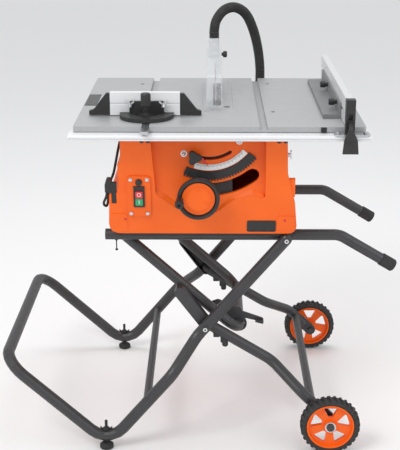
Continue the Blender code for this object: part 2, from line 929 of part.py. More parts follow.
def control_recess():
    """The sunk field round the bevel controls, bounded below by a wavy bulge."""
    top = HOUSING_TOP + CUT
    outline = rounded(
        (
            (RECESS_LEFT, top, 0.0),
            (RECESS_LEFT + 0.014, 0.714, 0.012),
            (-0.111, 0.672, 0.030),
            (-0.015, 0.655, 0.040),
            (0.040, 0.700, 0.040),
            (0.089, 0.712, 0.020),
            (RECESS_RIGHT, 0.700, 0.008),
            (RECESS_RIGHT - 0.002, top, 0.0),
        ),
        4,
    )
    return prism(outline, "Y", HOUSING_FRONT - 0.02, RECESS_FACE)


def switch_pocket():
    return transformed(
        prism(rectangle(-0.016, 0.016, -0.031, 0.031), "Y", -0.02, 0.026),
        face_matrix(SWITCH_X, SWITCH_Z),
    )


def switch_plate():
    """Raised plate that carries the switch, with an opening for its body."""
    frame = face_matrix(SWITCH_X, SWITCH_Z)
    outline = rectangle(-SWITCH_W / 2, SWITCH_W / 2, -SWITCH_H / 2, SWITCH_H / 2, 0.008, 3)
    obj = add_object(
        "switch_plate",
        transformed(prism(outline, "Y", -SWITCH_PLATE, -GAP), frame),
        "orange",
    )
    opening = prism(rectangle(-0.0145, 0.0145, -0.0295, 0.0295), "Y", -0.02, 0.02)
    reset = prism(circle(0.0, 0.041, RESET_R + GAP, 16), "Y", -0.02, 0.02)
    cut(obj, transformed(opening, frame), transformed(reset, frame))
    for x in (-1, 1):
        for z in (-1, 1):
            head = turned(
                (
                    (0.001, -SWITCH_PLATE + 0.001),
                    (0.0045, -SWITCH_PLATE + 0.001),
                    (0.0045, -0.0055),
                    (0.001, -0.0068),
                ),
                (x * 0.0215, 0, z * 0.0485),
                (0, 1, 0),
                10,
            )
            join(obj, transformed(head, frame))
    return obj


def switch_body():
    """Black switch case with a sunk well for its two buttons."""
    frame = face_matrix(SWITCH_X, SWITCH_Z)
    low, high = -0.0075, 0.024
    bm = prism(rectangle(-0.0142, 0.0142, -0.0292, 0.0292), "Y", low, high)
    obj = add_object("switch_body", transformed(bm, frame), "black")
    well = prism(
        rectangle(-BUTTON_W / 2 - RUN, BUTTON_W / 2 + RUN, -0.0245, 0.0180),
        "Y",
        low - 0.01,
        0.004,
    )
    return cut(obj, transformed(well, frame))


def switch_button(name, z, colour, proud):
    frame = face_matrix(SWITCH_X, SWITCH_Z)
    outline = rectangle(-BUTTON_W / 2, BUTTON_W / 2, z - BUTTON_H / 2, z + BUTTON_H / 2, 0.0015, 2)
    bm = transformed(prism(outline, "Y", -0.0075 - proud, -0.0010), frame)
    origin = frame @ Vector((0, -0.0075 - proud, z))
    return add_object(name, bm, colour, origin)


def reset_button():
    frame = face_matrix(SWITCH_X, SWITCH_Z)
    profile = (
        (0.001, -0.0105),
        (RESET_R - 0.002, -0.0105),
        (RESET_R, -0.008),
        (RESET_R, -0.0035),
        (0.001, -0.0035),
    )
    bm = turned(profile, (0, 0, 0.041), (0, 1, 0), 16)
    origin = frame @ Vector((0, -0.0105, 0.041))
    return add_object("reset_button", transformed(bm, frame), "black", origin)


def table():
    """Cast top with two mitre slots, a ledged throat and ribs underneath."""
    half_w, half_d = TABLE_WIDTH / 2, TABLE_DEPTH / 2
    outline = rectangle(-half_w, half_w, -half_d, half_d, TABLE_CORNER, 3)
    obj = add_object("table_top", prism(outline, "Z", TABLE_UNDER, TABLE_TOP), "cast")
    for x in (LEFT_SLOT_X, RIGHT_SLOT_X):
        cut(
            obj,
            block(
                x - SLOT_WIDTH / 2,
                x + SLOT_WIDTH / 2,
                -half_d - CUT,
                half_d + CUT,
                TABLE_TOP - SLOT_DEPTH,
                TABLE_TOP + 0.010,
            ),
        )
    cut(obj, throat_block(0.0, TABLE_TOP - THROAT_PLATE_THICK - GAP, TABLE_TOP + 0.010))
    opening = throat_block(-THROAT_LEDGE, TABLE_UNDER - CUT, TABLE_TOP + 0.010)
    cut(obj, opening, arbor_relief())
    for pocket in rib_pockets():
        cut(obj, pocket)
    return obj


def arbor_relief():
    """Notch through the throat ledge that lets the arbor's flange and nut rise at full tilt."""
    edge = THROAT_X + THROAT_WIDTH / 2
    reach = FLANGE_R + 0.004
    return block(
        edge - THROAT_LEDGE - 0.004,
        edge + 0.0045,
        BLADE_Y - reach,
        BLADE_Y + reach,
        TABLE_UNDER - CUT,
        TABLE_TOP - THROAT_PLATE_THICK - GAP,
    )


def throat_block(grow, low, high):
    half_w = THROAT_WIDTH / 2 + grow
    half_l = THROAT_LENGTH / 2 + grow
    outline = rectangle(
        THROAT_X - half_w,
        THROAT_X + half_w,
        THROAT_Y - half_l,
        THROAT_Y + half_l,
        0.004,
        2,
    )
    return prism(outline, "Z", low, high)


def rib_pockets():
    """Pockets from below that leave the rim, the ribs and solid strips under the slots."""
    half_w, half_d = TABLE_WIDTH / 2, TABLE_DEPTH / 2
    left, right = HOUSING_OUTLINE[0][0], HOUSING_OUTLINE[-1][0]
    bands = ((-half_w + 0.008, left - 0.012), (right + 0.012, half_w - 0.008))
    top = TABLE_TOP - TABLE_SKIN
    pockets = []
    rows = 4
    for x0, x1 in bands:
        span = (2 * half_d - 0.016 - (rows - 1) * RIB) / rows
        for k in range(rows):
            y0 = -half_d + 0.008 + k * (span + RIB)
            pockets.append(block(x0, x1, y0, y0 + span, TABLE_UNDER - CUT, top))
    return pockets


def throat_plate():
    """Insert with the blade slot and a finger hole."""
    half_w = THROAT_WIDTH / 2 - GAP
    half_l = THROAT_LENGTH / 2 - GAP
    outline = rectangle(
        THROAT_X - half_w,
        THROAT_X + half_w,
        THROAT_Y - half_l,
        THROAT_Y + half_l,
        0.004,
        2,
    )
    obj = add_object(
        "throat_plate", prism(outline, "Z", TABLE_TOP - THROAT_PLATE_THICK, TABLE_TOP), "aluminium"
    )
    slot = stadium((BLADE_X + 0.004, THROAT_Y - 0.126), (BLADE_X + 0.004, THROAT_Y + 0.170), 0.011, 5)
    low, high = TABLE_TOP - 0.01, TABLE_TOP + 0.01
    cut(obj, prism(slot, "Z", low, high), rod("Z", 0.0215, THROAT_Y - 0.152, 0.0085, low, high))
    return obj


# ---------------------------------------------------------------- blade, arbor, motor and carriage


def arbor_centre():
    return (BLADE_X, BLADE_Y, ARBOR_Z)


def blade():
    """Toothed disc with a bore, its rim cut into hooked teeth."""
    outline = []
    step = 2 * math.pi / BLADE_TEETH
    radius = BLADE_DIA / 2
    for k in range(BLADE_TEETH):
        angle = k * step
        for share, depth in ((0.0, 0.0), (0.08, 0.008), (0.45, 0.0075)):
            around = angle + share * step
            outline.append(
                (
                    BLADE_Y + (radius - depth) * math.cos(around),
                    ARBOR_Z + (radius - depth) * math.sin(around),
                )
            )
    low, high = BLADE_X - BLADE_THICK / 2, BLADE_X + BLADE_THICK / 2
    obj = add_object("blade", prism(outline, "X", low, high), "steel", arbor_centre())
    return cut(obj, rod("X", BLADE_Y, ARBOR_Z, ARBOR_R + GAP, low - CUT, high + CUT, 20))


def arbor():
    """Arbor shaft with a flange on each side of the blade and a hexagon nut."""
    near = BLADE_THICK / 2 + GAP
    profile = (
        (0.001, -0.045),
        (0.010, -0.045),
        (0.010, -0.014),
        (FLANGE_R, -0.012),
        (FLANGE_R, -near),
        (ARBOR_R, -near),
        (ARBOR_R, near),
        (FLANGE_R, near),
        (FLANGE_R, near + 0.003),
        (0.0125, near + 0.005),
        (0.0125, 0.013),
        (ARBOR_R, 0.013),
        (ARBOR_R, 0.018),
        (0.001, 0.019),
    )
    return add_object("arbor", turned(profile, arbor_centre(), (1, 0, 0), 24), "steel", arbor_centre())


def motor():
    """Motor and gear case left of the blade, carrying the arbor's bearing."""
    z = ARBOR_Z - MOTOR_DROP
    right = BLADE_X - 0.020
    left = right - MOTOR_LENGTH
    profile = (
        (0.001, 0.0),
        (MOTOR_R - 0.012, 0.0),
        (MOTOR_R - 0.006, 0.008),
        (MOTOR_R - 0.006, 0.028),
        (MOTOR_R, 0.032),
        (MOTOR_R, MOTOR_LENGTH - 0.018),
        (MOTOR_R - 0.008, MOTOR_LENGTH - 0.010),
        (0.001, MOTOR_LENGTH - 0.010),
    )
    obj = add_object(
        "motor",
        turned(profile, (left, BLADE_Y, z), (1, 0, 0), 24),
        "black",
        (left, BLADE_Y, z),
    )
    case = stadium((BLADE_Y, z), (BLADE_Y, ARBOR_Z), 0.030, 8)
    join(obj, prism(case, "X", right - 0.030, right))
    return cut(obj, rod("X", BLADE_Y, ARBOR_Z, 0.010 + RUN, right - 0.027, right + CUT, 20))


def carriage():
    """Tilting frame: a front plate that takes the handwheel shaft, a side beam and a rear plate for the splitter."""
    front = CAVITY_FRONT + 0.001
    outline = [(TILT_X + x, TABLE_TOP + z) for x, z in CARRIAGE_OUTLINE]
    obj = add_object(
        "carriage",
        prism(outline, "Y", front, front + 0.006),
        "cast",
        (TILT_X, 0.0, TABLE_TOP),
    )
    beam_x = TILT_X + 0.046
    beam_z = TABLE_TOP - 0.195
    rear = BLADE_Y + 0.150
    join(obj, block(beam_x, beam_x + 0.014, front + 0.003, rear + 0.003, beam_z - 0.012, beam_z + 0.012))
    post = [
        (BLADE_X - 0.006, beam_z - 0.012),
        (beam_x + 0.014, beam_z - 0.012),
        (beam_x + 0.014, beam_z + 0.02),
    ]
    post += [(BLADE_X + 0.008, TABLE_TOP - 0.060), (BLADE_X - 0.006, TABLE_TOP - 0.060)]
    join(obj, prism(post, "Y", rear, rear + 0.006))
    wheel = tilt_point(WHEEL_AXIS_R, WHEEL_ANGLE)
    cut(obj, rod("Y", wheel[0], wheel[1], SHAFT_R + RUN, front - CUT, front + 0.012, 16))
    lock = tilt_point(LOCK_SLOT_R, LOCK_ANGLE)
    cut(obj, rod("Y", lock[0], lock[1], 0.0036, front - CUT, front + 0.012, 12))
    return obj


def splitter():
    """Steel plate behind the blade that carries the guard, bolted to the carriage's rear plate."""
    low, high = BLADE_X - 0.001, BLADE_X + 0.001
    rear = BLADE_Y + 0.150
    outline = rounded(
        (
            (BLADE_Y + 0.133, TABLE_TOP - 0.100, 0.004),
            (rear - GAP, TABLE_TOP - 0.100, 0.0),
            (rear - GAP, TABLE_TOP - 0.040, 0.0),
            (BLADE_Y + 0.168, TABLE_TOP - 0.030, 0.0),
            (BLADE_Y + 0.168, TABLE_TOP + 0.066, 0.010),
            (BLADE_Y + 0.100, TABLE_TOP + 0.066, 0.010),
            (BLADE_Y + 0.131, TABLE_TOP + 0.010, 0.030),
        ),
        3,
    )
    return add_object("splitter", prism(outline, "X", low, high), "steel", (TILT_X, 0.0, TABLE_TOP))


# ---------------------------------------------------------------- bevel and height controls


def bevel_rack():
    """Toothed arc plate fixed in the control field."""
    near = RECESS_FACE - GAP
    first, last = -26.0, 52.0
    inner = [tilt_point(RACK_R[0], first + (last - first) * k / 14) for k in range(15)]
    teeth = 26
    outer = []
    for k in range(teeth):
        here = last - (last - first) * k / teeth
        step = (last - first) / teeth
        outer.append(tilt_point(RACK_R[1], here))
        outer.append(tilt_point(RACK_R[1] + RACK_TOOTH, here - 0.3 * step))
        outer.append(tilt_point(RACK_R[1] + RACK_TOOTH, here - 0.6 * step))
        outer.append(tilt_point(RACK_R[1], here - 0.9 * step))
    return add_object("bevel_rack", prism(inner + outer, "Y", near - 0.005, near), "black")


def bevel_scale():
    """Arc plate with the degree scale."""
    near = RECESS_FACE - GAP
    return add_object(
        "bevel_scale",
        prism(arc_band(*SCALE_R, -18, 50, 14), "Y", near - 0.0025, near),
        "aluminium",
    )


def lock_knob():
    """Three-lobed knob on a stud through the lock slot."""
    x, z = tilt_point(LOCK_SLOT_R, LOCK_ANGLE)
    face = RECESS_FACE - 0.030
    lobes = []
    for k in range(36):
        angle = 2 * math.pi * k / 36
        radius = 0.0165 + 0.0035 * math.cos(3 * angle)
        lobes.append((x + radius * math.cos(angle), z + radius * math.sin(angle)))
    obj = add_object("lock_knob", prism(lobes, "Y", face, face + 0.014), "black", (x, face, z))
    stud = turned(
        (
            (0.001, -0.002),
            (0.009, -0.002),
            (0.009, 0.012),
            (0.0033, 0.013),
            (0.0033, 0.052),
            (0.001, 0.052),
        ),
        (x, face + 0.012, z),
        (0, 1, 0),
        12,
    )
    return join(bevel(obj, 0.002, 2), stud)


def wheel_axis():
    x, z = tilt_point(WHEEL_AXIS_R, WHEEL_ANGLE)
    return (x, HANDWHEEL_FACE, z)


def handwheel():
    """Dished wheel with a thick rim on the shaft that drives the blade height."""
    x, y, z = wheel_axis()
    radius = HANDWHEEL_DIA / 2
    deep = CAVITY_FRONT + 0.016 - y
    profile = (
        (0.001, 0.010),
        (radius - 0.012, 0.010),
        (radius - 0.008, 0.002),
        (radius - 0.003, 0.000),
        (radius, 0.004),
        (radius, 0.014),
        (radius - 0.005, 0.019),
        (0.020, 0.018),
        (0.017, 0.034),
        (SHAFT_R, 0.036),
        (SHAFT_R, deep),
        (0.001, deep),
    )
    obj = add_object("handwheel", turned(profile, (x, y, z), (0, 1, 0), 32), "black", (x, y, z))
    peg = turned(
        ((0.001, -0.045), (0.0035, -0.045), (0.0035, 0.006), (0.001, 0.006)),
        (x - radius + 0.0015 + 0.006, y, z),
        (0, 1, 0),
        10,
    )
    return join(obj, peg)


def handwheel_cover():
    """Orange disc set into the handwheel's face."""
    x, y, z = wheel_axis()
    radius = HANDWHEEL_DIA / 2 - 0.0125
    profile = ((0.001, 0.003), (radius * 0.6, 0.004), (radius, 0.0065), (radius, 0.0097), (0.001, 0.0097))
    obj = add_object("handwheel_cover", turned(profile, (x, y, z), (0, 1, 0), 32), "orange", (x, y, z))
    return cut(obj, rod("Y", x - HANDWHEEL_DIA / 2 + 0.0075, z, 0.0075, y - 0.01, y + 0.02, 12))


def crank_knob():
    """Freely turning grip on the handwheel's peg."""
    x, y, z = wheel_axis()
    x -= HANDWHEEL_DIA / 2 - 0.0075
    bore = 0.0035 + RUN
    profile = (
        (bore, -0.050),
        (0.0085, -0.050),
        (0.0115, -0.044),
        (0.0115, -0.030),
        (0.0085, -0.008),
        (0.0095, -0.0025),
        (bore, -0.0025),
    )
    return add_object(
        "crank_knob",
        turned(profile, (x, y, z), (0, 1, 0), 16, ring=True),
        "black",
        (x, y, z),
    )


# ---------------------------------------------------------------- front rail and rip fence


def front_rail():
    """Extruded rail along the table's front edge, with a groove in its face and a fixing flange."""
    back, front, top = BAR_RAIL_BACK, BAR_RAIL_FRONT, BAR_RAIL_TOP
    low = top - RAIL_TALL
    flange = HOUSING_FRONT - 0.002
    outline = (
        (flange, top),
        (flange, top - 0.004),
        (back, top - 0.004),
        (back, low),
        (front + 0.002, low),
        (front, low + 0.002),
        (front, low + 0.004),
        (front + 0.003, low + 0.004),
        (front + 0.003, low + 0.007),
        (front, low + 0.007),
        (front, top - 0.002),
        (front + 0.002, top),
    )
    half = TABLE_WIDTH / 2 + RAIL_OVERHANG
    return add_object("front_rail", prism(outline, "X", -half, half), "aluminium")


def fence_body():
    """Tall hollow extrusion with a groove along each face."""
    low, high = TABLE_TOP + FENCE_CLEAR, TABLE_TOP + FENCE_TOP
    left, right = FENCE_LEFT, FENCE_RIGHT
    groove = low + 0.024
    outline = (
        (left, low),
        (right, low),
        (right, groove),
        (right - 0.004, groove),
        (right - 0.004, groove + 0.007),
        (right, groove + 0.007),
        (right, high - 0.0015),
        (right - 0.0015, high),
        (left + 0.0015, high),
        (left, high - 0.0015),
        (left, groove + 0.007),
        (left + 0.004, groove + 0.007),
        (left + 0.004, groove),
        (left, groove),
    )
    obj = add_object(
        "fence_body", prism(
            outline,
            "Y",
            TABLE_FRONT + 0.004,
            TABLE_BACK + 0.008,
        ), "aluminium", (FENCE_X, 0, TABLE_TOP)
    )
    cavity = rectangle(left + 0.002, right - 0.002, groove + 0.010, high - 0.002)
    return cut(obj, prism(cavity, "Y", TABLE_FRONT - CUT, TABLE_BACK + 0.008 + CUT))


def fence_head():
    """Front casting of the fence: a cap over the extrusion's end and a foot that spans the rail."""
    front = TABLE_FRONT - 0.022
    back = TABLE_FRONT + 0.004 - GAP
    top = TABLE_TOP + FENCE_TOP + 0.002
    base = BAR_RAIL_TOP + RUN
    outline = rounded(
        (
            (TABLE_FRONT - 0.0015, TABLE_TOP + 0.0015, 0.0),
            (back, TABLE_TOP + 0.0015, 0.0),
            (back, top, 0.002),
            (front, top, 0.002),
            (front, TABLE_TOP + 0.024, 0.004),
            (front + 0.006, base + 0.004, 0.0),
            (TABLE_FRONT - 0.0015, base + 0.004, 0.0),
        ),
        2,
    )
    left, right = FENCE_LEFT - 0.0015, FENCE_RIGHT + 0.0025
    obj = add_object("fence_head", prism(outline, "X", left, right), "black", (FENCE_X, front, base))
    reach = LEVER_NECK + RUN
    slot = block(
        FENCE_X - reach,
        FENCE_X + reach,
        front - CUT,
        front + 0.010,
        base - CUT,
        TABLE_TOP + 0.037,
    )
    cut(obj, slot)
    join(obj, rod("X", front + 0.005, TABLE_TOP + 0.018, 0.0025, left + 0.001, right - 0.001, 10))
    return obj


def fence_foot():
    """Plate with round ends that rides on the rail under the fence head."""
    low = BAR_RAIL_TOP + GAP
    high = low + 0.0035
    front = BAR_RAIL_FRONT - 0.003
    back = TABLE_FRONT - 0.0015
    middle = (back + front) / 2
    outline = rectangle(FENCE_X - 0.040, FENCE_X + 0.050, front, back, 0.010, 4)
    obj = add_object("fence_foot", prism(outline, "Z", low, high), "steel", (FENCE_X, middle, low))
    for x in (FENCE_X - 0.030, FENCE_X + 0.040):
        join(obj, rod("Z", x, middle, 0.006, low + 0.001, high + 0.004, 6))
    return obj


def lever_pivot():
    return (FENCE_X, TABLE_FRONT - 0.017, TABLE_TOP + 0.018)


def fence_lever():
    """Locking lever: an eye on the head's pin, a neck and a broad paddle that hangs in front of the rail."""
    x, y, z = lever_pivot()
    front = BAR_RAIL_FRONT - 0.006
    low = BAR_RAIL_TOP - 0.042
    thick = 0.006
    side = [
        (y + 0.0035, z + 0.003),
        (y - 0.002, z + 0.005),
        (front - thick, TABLE_TOP + 0.004),
        (front - thick - 0.004, TABLE_TOP - 0.030),
        (front - thick - 0.002, low),
        (front - 0.002, low),
        (front, TABLE_TOP - 0.030),
        (front, BAR_RAIL_TOP + 0.012),
        (y + 0.001, z - 0.0045),
    ]
    obj = add_object("fence_lever", prism(side, "X", x - 0.020, x + 0.022), "black", (x, y, z))
    neck = LEVER_NECK
    tall = TABLE_TOP + 0.06
    for sign in (-1, 1):
        waste = [
            (x + sign * neck, tall),
            (x + sign * neck, TABLE_TOP + 0.004),
            (x + sign * 0.008, TABLE_TOP - 0.004),
            (x + sign * 0.0165, TABLE_TOP - 0.022),
            (x + sign * 0.020, low - CUT),
            (x + sign * 0.040, low - CUT),
            (x + sign * 0.040, tall),
        ]
        cut(obj, prism(waste, "Y", front - 0.04, y + 0.03))
    cut(obj, rod("X", y, z, 0.0025 + RUN, x - 0.03, x + 0.03, 10))
    return bevel(obj, 0.0012, 1)


def aux_fence():
    """Low L-shaped fence bolted to the side of the main one."""
    low = TABLE_TOP + 0.0008
    left = FENCE_LEFT - AUX_WIDTH
    right = FENCE_LEFT - GAP
    outline = (
        (left, low),
        (right, low),
        (right, low + 0.040),
        (right - 0.005, low + 0.040),
        (right - 0.005, low + 0.010),
        (left, low + 0.010),
    )
    obj = add_object(
        "aux_fence", prism(outline, "Y", AUX_FRONT, AUX_BACK), "aluminium", (FENCE_X, 0, TABLE_TOP)
    )
    for y in AUX_KNOBS:
        cut(obj, rod("X", y, TABLE_TOP + FENCE_CLEAR + 0.0275, 0.0031, right - 0.02, right + 0.01, 10))
    return obj


def aux_knob(name, y):
    """Thumb screw that clamps the low fence in the main fence's groove."""
    x = FENCE_LEFT - GAP - 0.005 - GAP
    z = TABLE_TOP + FENCE_CLEAR + 0.0275
    profile = (
        (0.001, 0.0088),
        (0.0028, 0.0088),
        (0.0028, 0.0),
        (0.0060, 0.0),
        (0.0060, -0.006),
        (0.0090, -0.007),
        (0.0090, -0.019),
        (0.0070, -0.021),
        (0.001, -0.021),
    )
    return add_object(name, turned(profile, (x, y, z), (1, 0, 0), 14), "black", (x, y, z))


# ---------------------------------------------------------------- mitre gauge


def gauge_pivot():
    return (LEFT_SLOT_X - 0.002, GAUGE_PIVOT_Y, TABLE_TOP)


def gauge_bar():
    half = SLOT_WIDTH / 2 - RUN
    low = TABLE_TOP - SLOT_DEPTH + RUN
    outline = rectangle(LEFT_SLOT_X - half, LEFT_SLOT_X + half, BAR_FRONT, BAR_BACK, 0.002, 2)
    return add_object("gauge_bar", prism(outline, "Z", low, TABLE_TOP - 0.0004), "steel", gauge_pivot())


def gauge_head():
    """Half-round head with an upright web for the fence."""
    x, y, _ = gauge_pivot()
    low = TABLE_TOP + 0.0005
    points = [
        (
            x + GAUGE_HEAD_R * math.cos(math.pi * (1 + k / 14)),
            y + GAUGE_HEAD_R * math.sin(math.pi * (1 + k / 14)),
        )
        for k in range(15)
    ]
    points += [(x + GAUGE_HEAD_R, GAUGE_FENCE_Y - GAP), (x - GAUGE_HEAD_R, GAUGE_FENCE_Y - GAP)]
    obj = add_object("gauge_head", prism(points, "Z", low, low + 0.010), "black", gauge_pivot())
    web = rectangle(x - 0.045, x + 0.045, low + 0.006, low + 0.040, 0.004, 2)
    join(obj, prism(web, "Y", GAUGE_FENCE_Y - 0.008, GAUGE_FENCE_Y - GAP))
    slot = [
        (x + 0.034 * math.cos(a), y + 0.034 * math.sin(a))
        for a in np.radians(np.linspace(202, 338, 14))
    ]
    slot += [
        (x + 0.026 * math.cos(a), y + 0.026 * math.sin(a))
        for a in np.radians(np.linspace(338, 202, 14))
    ]
    return cut(obj, prism(slot, "Z", low - CUT, low + 0.02))


def gauge_fence():
    left, right = GAUGE_FENCE
    low = TABLE_TOP + 0.0025
    high = TABLE_TOP + GAUGE_FENCE_TOP
    middle = (low + high) / 2
    near = GAUGE_FENCE_Y
    outline = (
        (near, low),
        (near + 0.018, low),
        (near + 0.018, high),
        (near, high),
        (near, middle + 0.003),
        (near + 0.003, middle + 0.003),
        (near + 0.003, middle - 0.003),
        (near, middle - 0.003),
    )
    obj = add_object("gauge_fence", prism(outline, "X", left, right), "aluminium", gauge_pivot())
    return cut(obj, block(left - CUT, right + CUT, near + 0.006, near + 0.015, low + 0.003, high - 0.003))


def gauge_end(name, edge, reach, sign):
    """Triangular end bracket with a foot, beyond the fence's end."""
    low = TABLE_TOP + 0.0025
    high = TABLE_TOP + GAUGE_FENCE_TOP - 0.003
    near = GAUGE_FENCE_Y + 0.002
    start = edge + sign * GAP
    end = edge + sign * reach
    outline = [
        (start, low),
        (end, low),
        (end, low + 0.010),
        (end - sign * 0.012, low + 0.014),
        (start + sign * 0.010, high),
        (start, high),
    ]
    return add_object(name, prism(outline, "Y", near, near + 0.014), "black", gauge_pivot())


def gauge_knob():
    """Knurled clamp knob above the head's arc slot."""
    x, y, z = gauge_pivot()
    y -= 0.030
    low = z + 0.0105 + GAP
    profile = (
        (0.001, low - z),
        (0.0080, low - z),
        (0.0070, 0.020),
        (0.0100, 0.036),
        (0.0130, 0.038),
        (0.0130, 0.066),
        (0.0105, 0.070),
        (0.001, 0.070),
    )
    obj = add_object("gauge_knob", turned(profile, (x, y, z), (0, 0, 1), 18), "black", (x, y, z))
    return join(obj, rod("Z", x, y, 0.0032, z + 0.0008, z + 0.014, 10))


# ---------------------------------------------------------------- blade guard and hose


def guard_hood():
    """Clear hood that rises to the rear and pivots on the riser."""
    left, right = GUARD_LEFT, GUARD_RIGHT
    low = TABLE_TOP + GUARD_BOTTOM
    front, back = GUARD_FRONT, GUARD_BACK
    top = TABLE_TOP + HOOD_TOP
    outer = rounded(
        (
            (front, low, 0.0),
            (back, low, 0.0),
            (back, top, HOOD_CORNER),
            (0.105, top, 0.030),
            (front + 0.004, TABLE_TOP + 0.032, 0.004),
            (front, TABLE_TOP + 0.026, 0.0),
        ),
        4,
    )
    wall = GUARD_WALL
    inner = [
        (front + wall, low - CUT),
        (back + CUT, low - CUT),
        (back + CUT, top - HOOD_CORNER - wall),
        (back - HOOD_CORNER, top - wall),
        (0.107, top - wall),
        (front + 0.006, TABLE_TOP + 0.032 - wall),
        (front + wall, TABLE_TOP + 0.026 - wall),
    ]
    obj = add_object("guard_hood", prism(outer, "X", left, right), "clear", guard_pivot())
    return cut(obj, prism(inner, "X", left + wall, right - wall))


def guard_pivot():
    return (BLADE_X, GUARD_BACK - HOOD_CORNER, TABLE_TOP + HOOD_TOP - HOOD_CORNER)


def guard_riser():
    """Fixed rear duct on the splitter, with a round mouth for the hose."""
    left, right = GUARD_LEFT, GUARD_RIGHT
    front = GUARD_BACK + 0.0015
    back = RISER_Y + 0.026
    low = TABLE_TOP + GUARD_BOTTOM + 0.030
    outer = [(front, low), (back, low + 0.010), (back, TABLE_TOP + 0.104), (front, TABLE_TOP + 0.104)]
    obj = add_object("guard_riser", prism(outer, "X", left, right), "clear", (TILT_X, 0, TABLE_TOP))
    x = (left + right) / 2
    mouth = TABLE_TOP + 0.140
    join(obj, turned(((0.0165, 0.098), (0.0165, 0.140)), (x, RISER_Y, TABLE_TOP), (0, 0, 1), 20))
    wall = GUARD_WALL
    hollow = prism(
        [
            (front - CUT, low + 0.006),
            (back - wall, low + 0.014),
            (back - wall, TABLE_TOP + 0.100),
            (front - CUT, TABLE_TOP + 0.100),
        ],
        "X",
        left + wall,
        right - wall,
    )
    cut(obj, hollow, rod("Z", x, RISER_Y, 0.0140, TABLE_TOP + 0.09, mouth + CUT, 20))
    slot = block(BLADE_X - 0.0015, BLADE_X + 0.0015, front - CUT, BLADE_Y + 0.170, low - CUT, low + 0.02)
    return cut(obj, slot)


def guard_knob():
    """Clamp knob on the right of the riser."""
    x = GUARD_RIGHT + GAP
    y, z = RISER_Y, TABLE_TOP + 0.092
    profile = (
        (0.001, 0.0),
        (0.005, 0.0),
        (0.005, 0.004),
        (0.0095, 0.005),
        (0.0095, 0.014),
        (0.007, 0.016),
        (0.001, 0.016),
    )
    return add_object("guard_knob", turned(profile, (x, y, z), (1, 0, 0), 14), "black", (x, y, z))


def dust_port():
    """Rear outlet on the housing: a wide spigot, with a small upright branch for the guard's hose."""
    x, y, z = PORT
    base = HOUSING_BACK + GAP
    flange = rectangle(x - 0.045, x + 0.045, z - 0.045, z + 0.045, 0.012, 3)
    obj = add_object("dust_port", prism(flange, "Y", base, base + 0.005), "black")
    join(obj, rod("Y", x, z, 0.031, base + 0.002, y + 0.020, 24))
    join(obj, rod("Z", x, y - 0.008, 0.0185, z, z + 0.058, 20))
    cut(obj, rod("Y", x, z, 0.028, base + 0.008, y + 0.020 + CUT, 24))
    return cut(obj, rod("Z", x, y - 0.008, 0.0155, z, z + 0.058 + CUT, 20))


def hose_route():
    """Route of the guard's hose, from the riser's mouth to the branch of the dust port."""
    x = (GUARD_LEFT + GUARD_RIGHT) / 2
    return (
        (x, RISER_Y, TABLE_TOP + 0.1405),
        (x, RISER_Y, TABLE_TOP + 0.151),
        (x, RISER_Y, TABLE_TOP + 0.162),
        (x + 0.006, RISER_Y + 0.004, TABLE_TOP + 0.190),
        (x + 0.028, RISER_Y + 0.018, TABLE_TOP + 0.217),
        (x + 0.060, RISER_Y + 0.048, TABLE_TOP + 0.222),
        (x + 0.092, RISER_Y + 0.084, TABLE_TOP + 0.200),
        (x + 0.115, RISER_Y + 0.112, TABLE_TOP + 0.155),
        (x + 0.132, RISER_Y + 0.136, TABLE_TOP + 0.095),
        (x + 0.141, RISER_Y + 0.141, TABLE_TOP + 0.030),
        (x + 0.141, RISER_Y + 0.137, TABLE_TOP - 0.040),
        (PORT[0], PORT[1] - 0.008, PORT[2] + 0.092),
        (PORT[0], PORT[1] - 0.008, PORT[2] + 0.075),
        (PORT[0], PORT[1] - 0.008, PORT[2] + 0.0585),
    )


def catmull(points, per=4):
    """Points of a smooth curve through the given ones."""
    points = [Vector(p) for p in points]
    padded = [points[0] * 2 - points[1]] + points + [points[-1] * 2 - points[-2]]
    out = []
    for a, b, c, d in zip(padded, padded[1:], padded[2:], padded[3:]):
        for k in range(per):
            t = k / per
            out.append(
                0.5 * ((2 * b) + (c - a) * t + (2 * a - 5 * b + 4 * c - d) * t * t + (3 * b - a - 3 * c + d) * t ** 3)
            )
    out.append(points[-1])
    return out


def curve_tube(name, points, radius, colour, resolution):
    """A cord or hose as a bevelled poly curve with filled caps."""
    data = bpy.data.curves.new(name, "CURVE")
    data.dimensions = "3D"
    spline = data.splines.new("POLY")
    spline.points.add(len(points) - 1)
    for slot, point in zip(spline.points, points):
        slot.co = (*point, 1.0)
    data.bevel_depth = radius
    data.bevel_resolution = resolution
    data.use_fill_caps = True
    data.materials.append(material(colour))
    obj = bpy.data.objects.new(name, data)
    bpy.context.scene.collection.objects.link(obj)
    return obj


def hose():
    return curve_tube("hose", catmull(hose_route(), 2), HOSE_R, "rubber", 3)


# ---------------------------------------------------------------- power cord


def plug():
    """Moulded plug parked in its notch, with a round grip and a slim tip."""
    left, right, low = PLUG_TIP
    shelf = 0.7145 + GAP
    obj = add_object(
        "plug",
        block(left, right, PLUG_FRONT, PLUG_FRONT + 0.0145, low, shelf + 0.028),
        "black",
    )
    body = rounded(
        (
            (-0.2970, shelf, 0.004),
            (-0.2790, shelf, 0.002),
            (-0.2790, shelf + 0.034, 0.003),
            (-0.2850, shelf + 0.038, 0.003),
            (-0.2930, shelf + 0.038, 0.003),
            (-0.2975, shelf + 0.022, 0.010),
        ),
        3,
    )
    join(obj, prism(body, "Y", PLUG_FRONT + 0.002, PLUG_FRONT + 0.0225))
    return bevel(obj, 0.0012, 2)


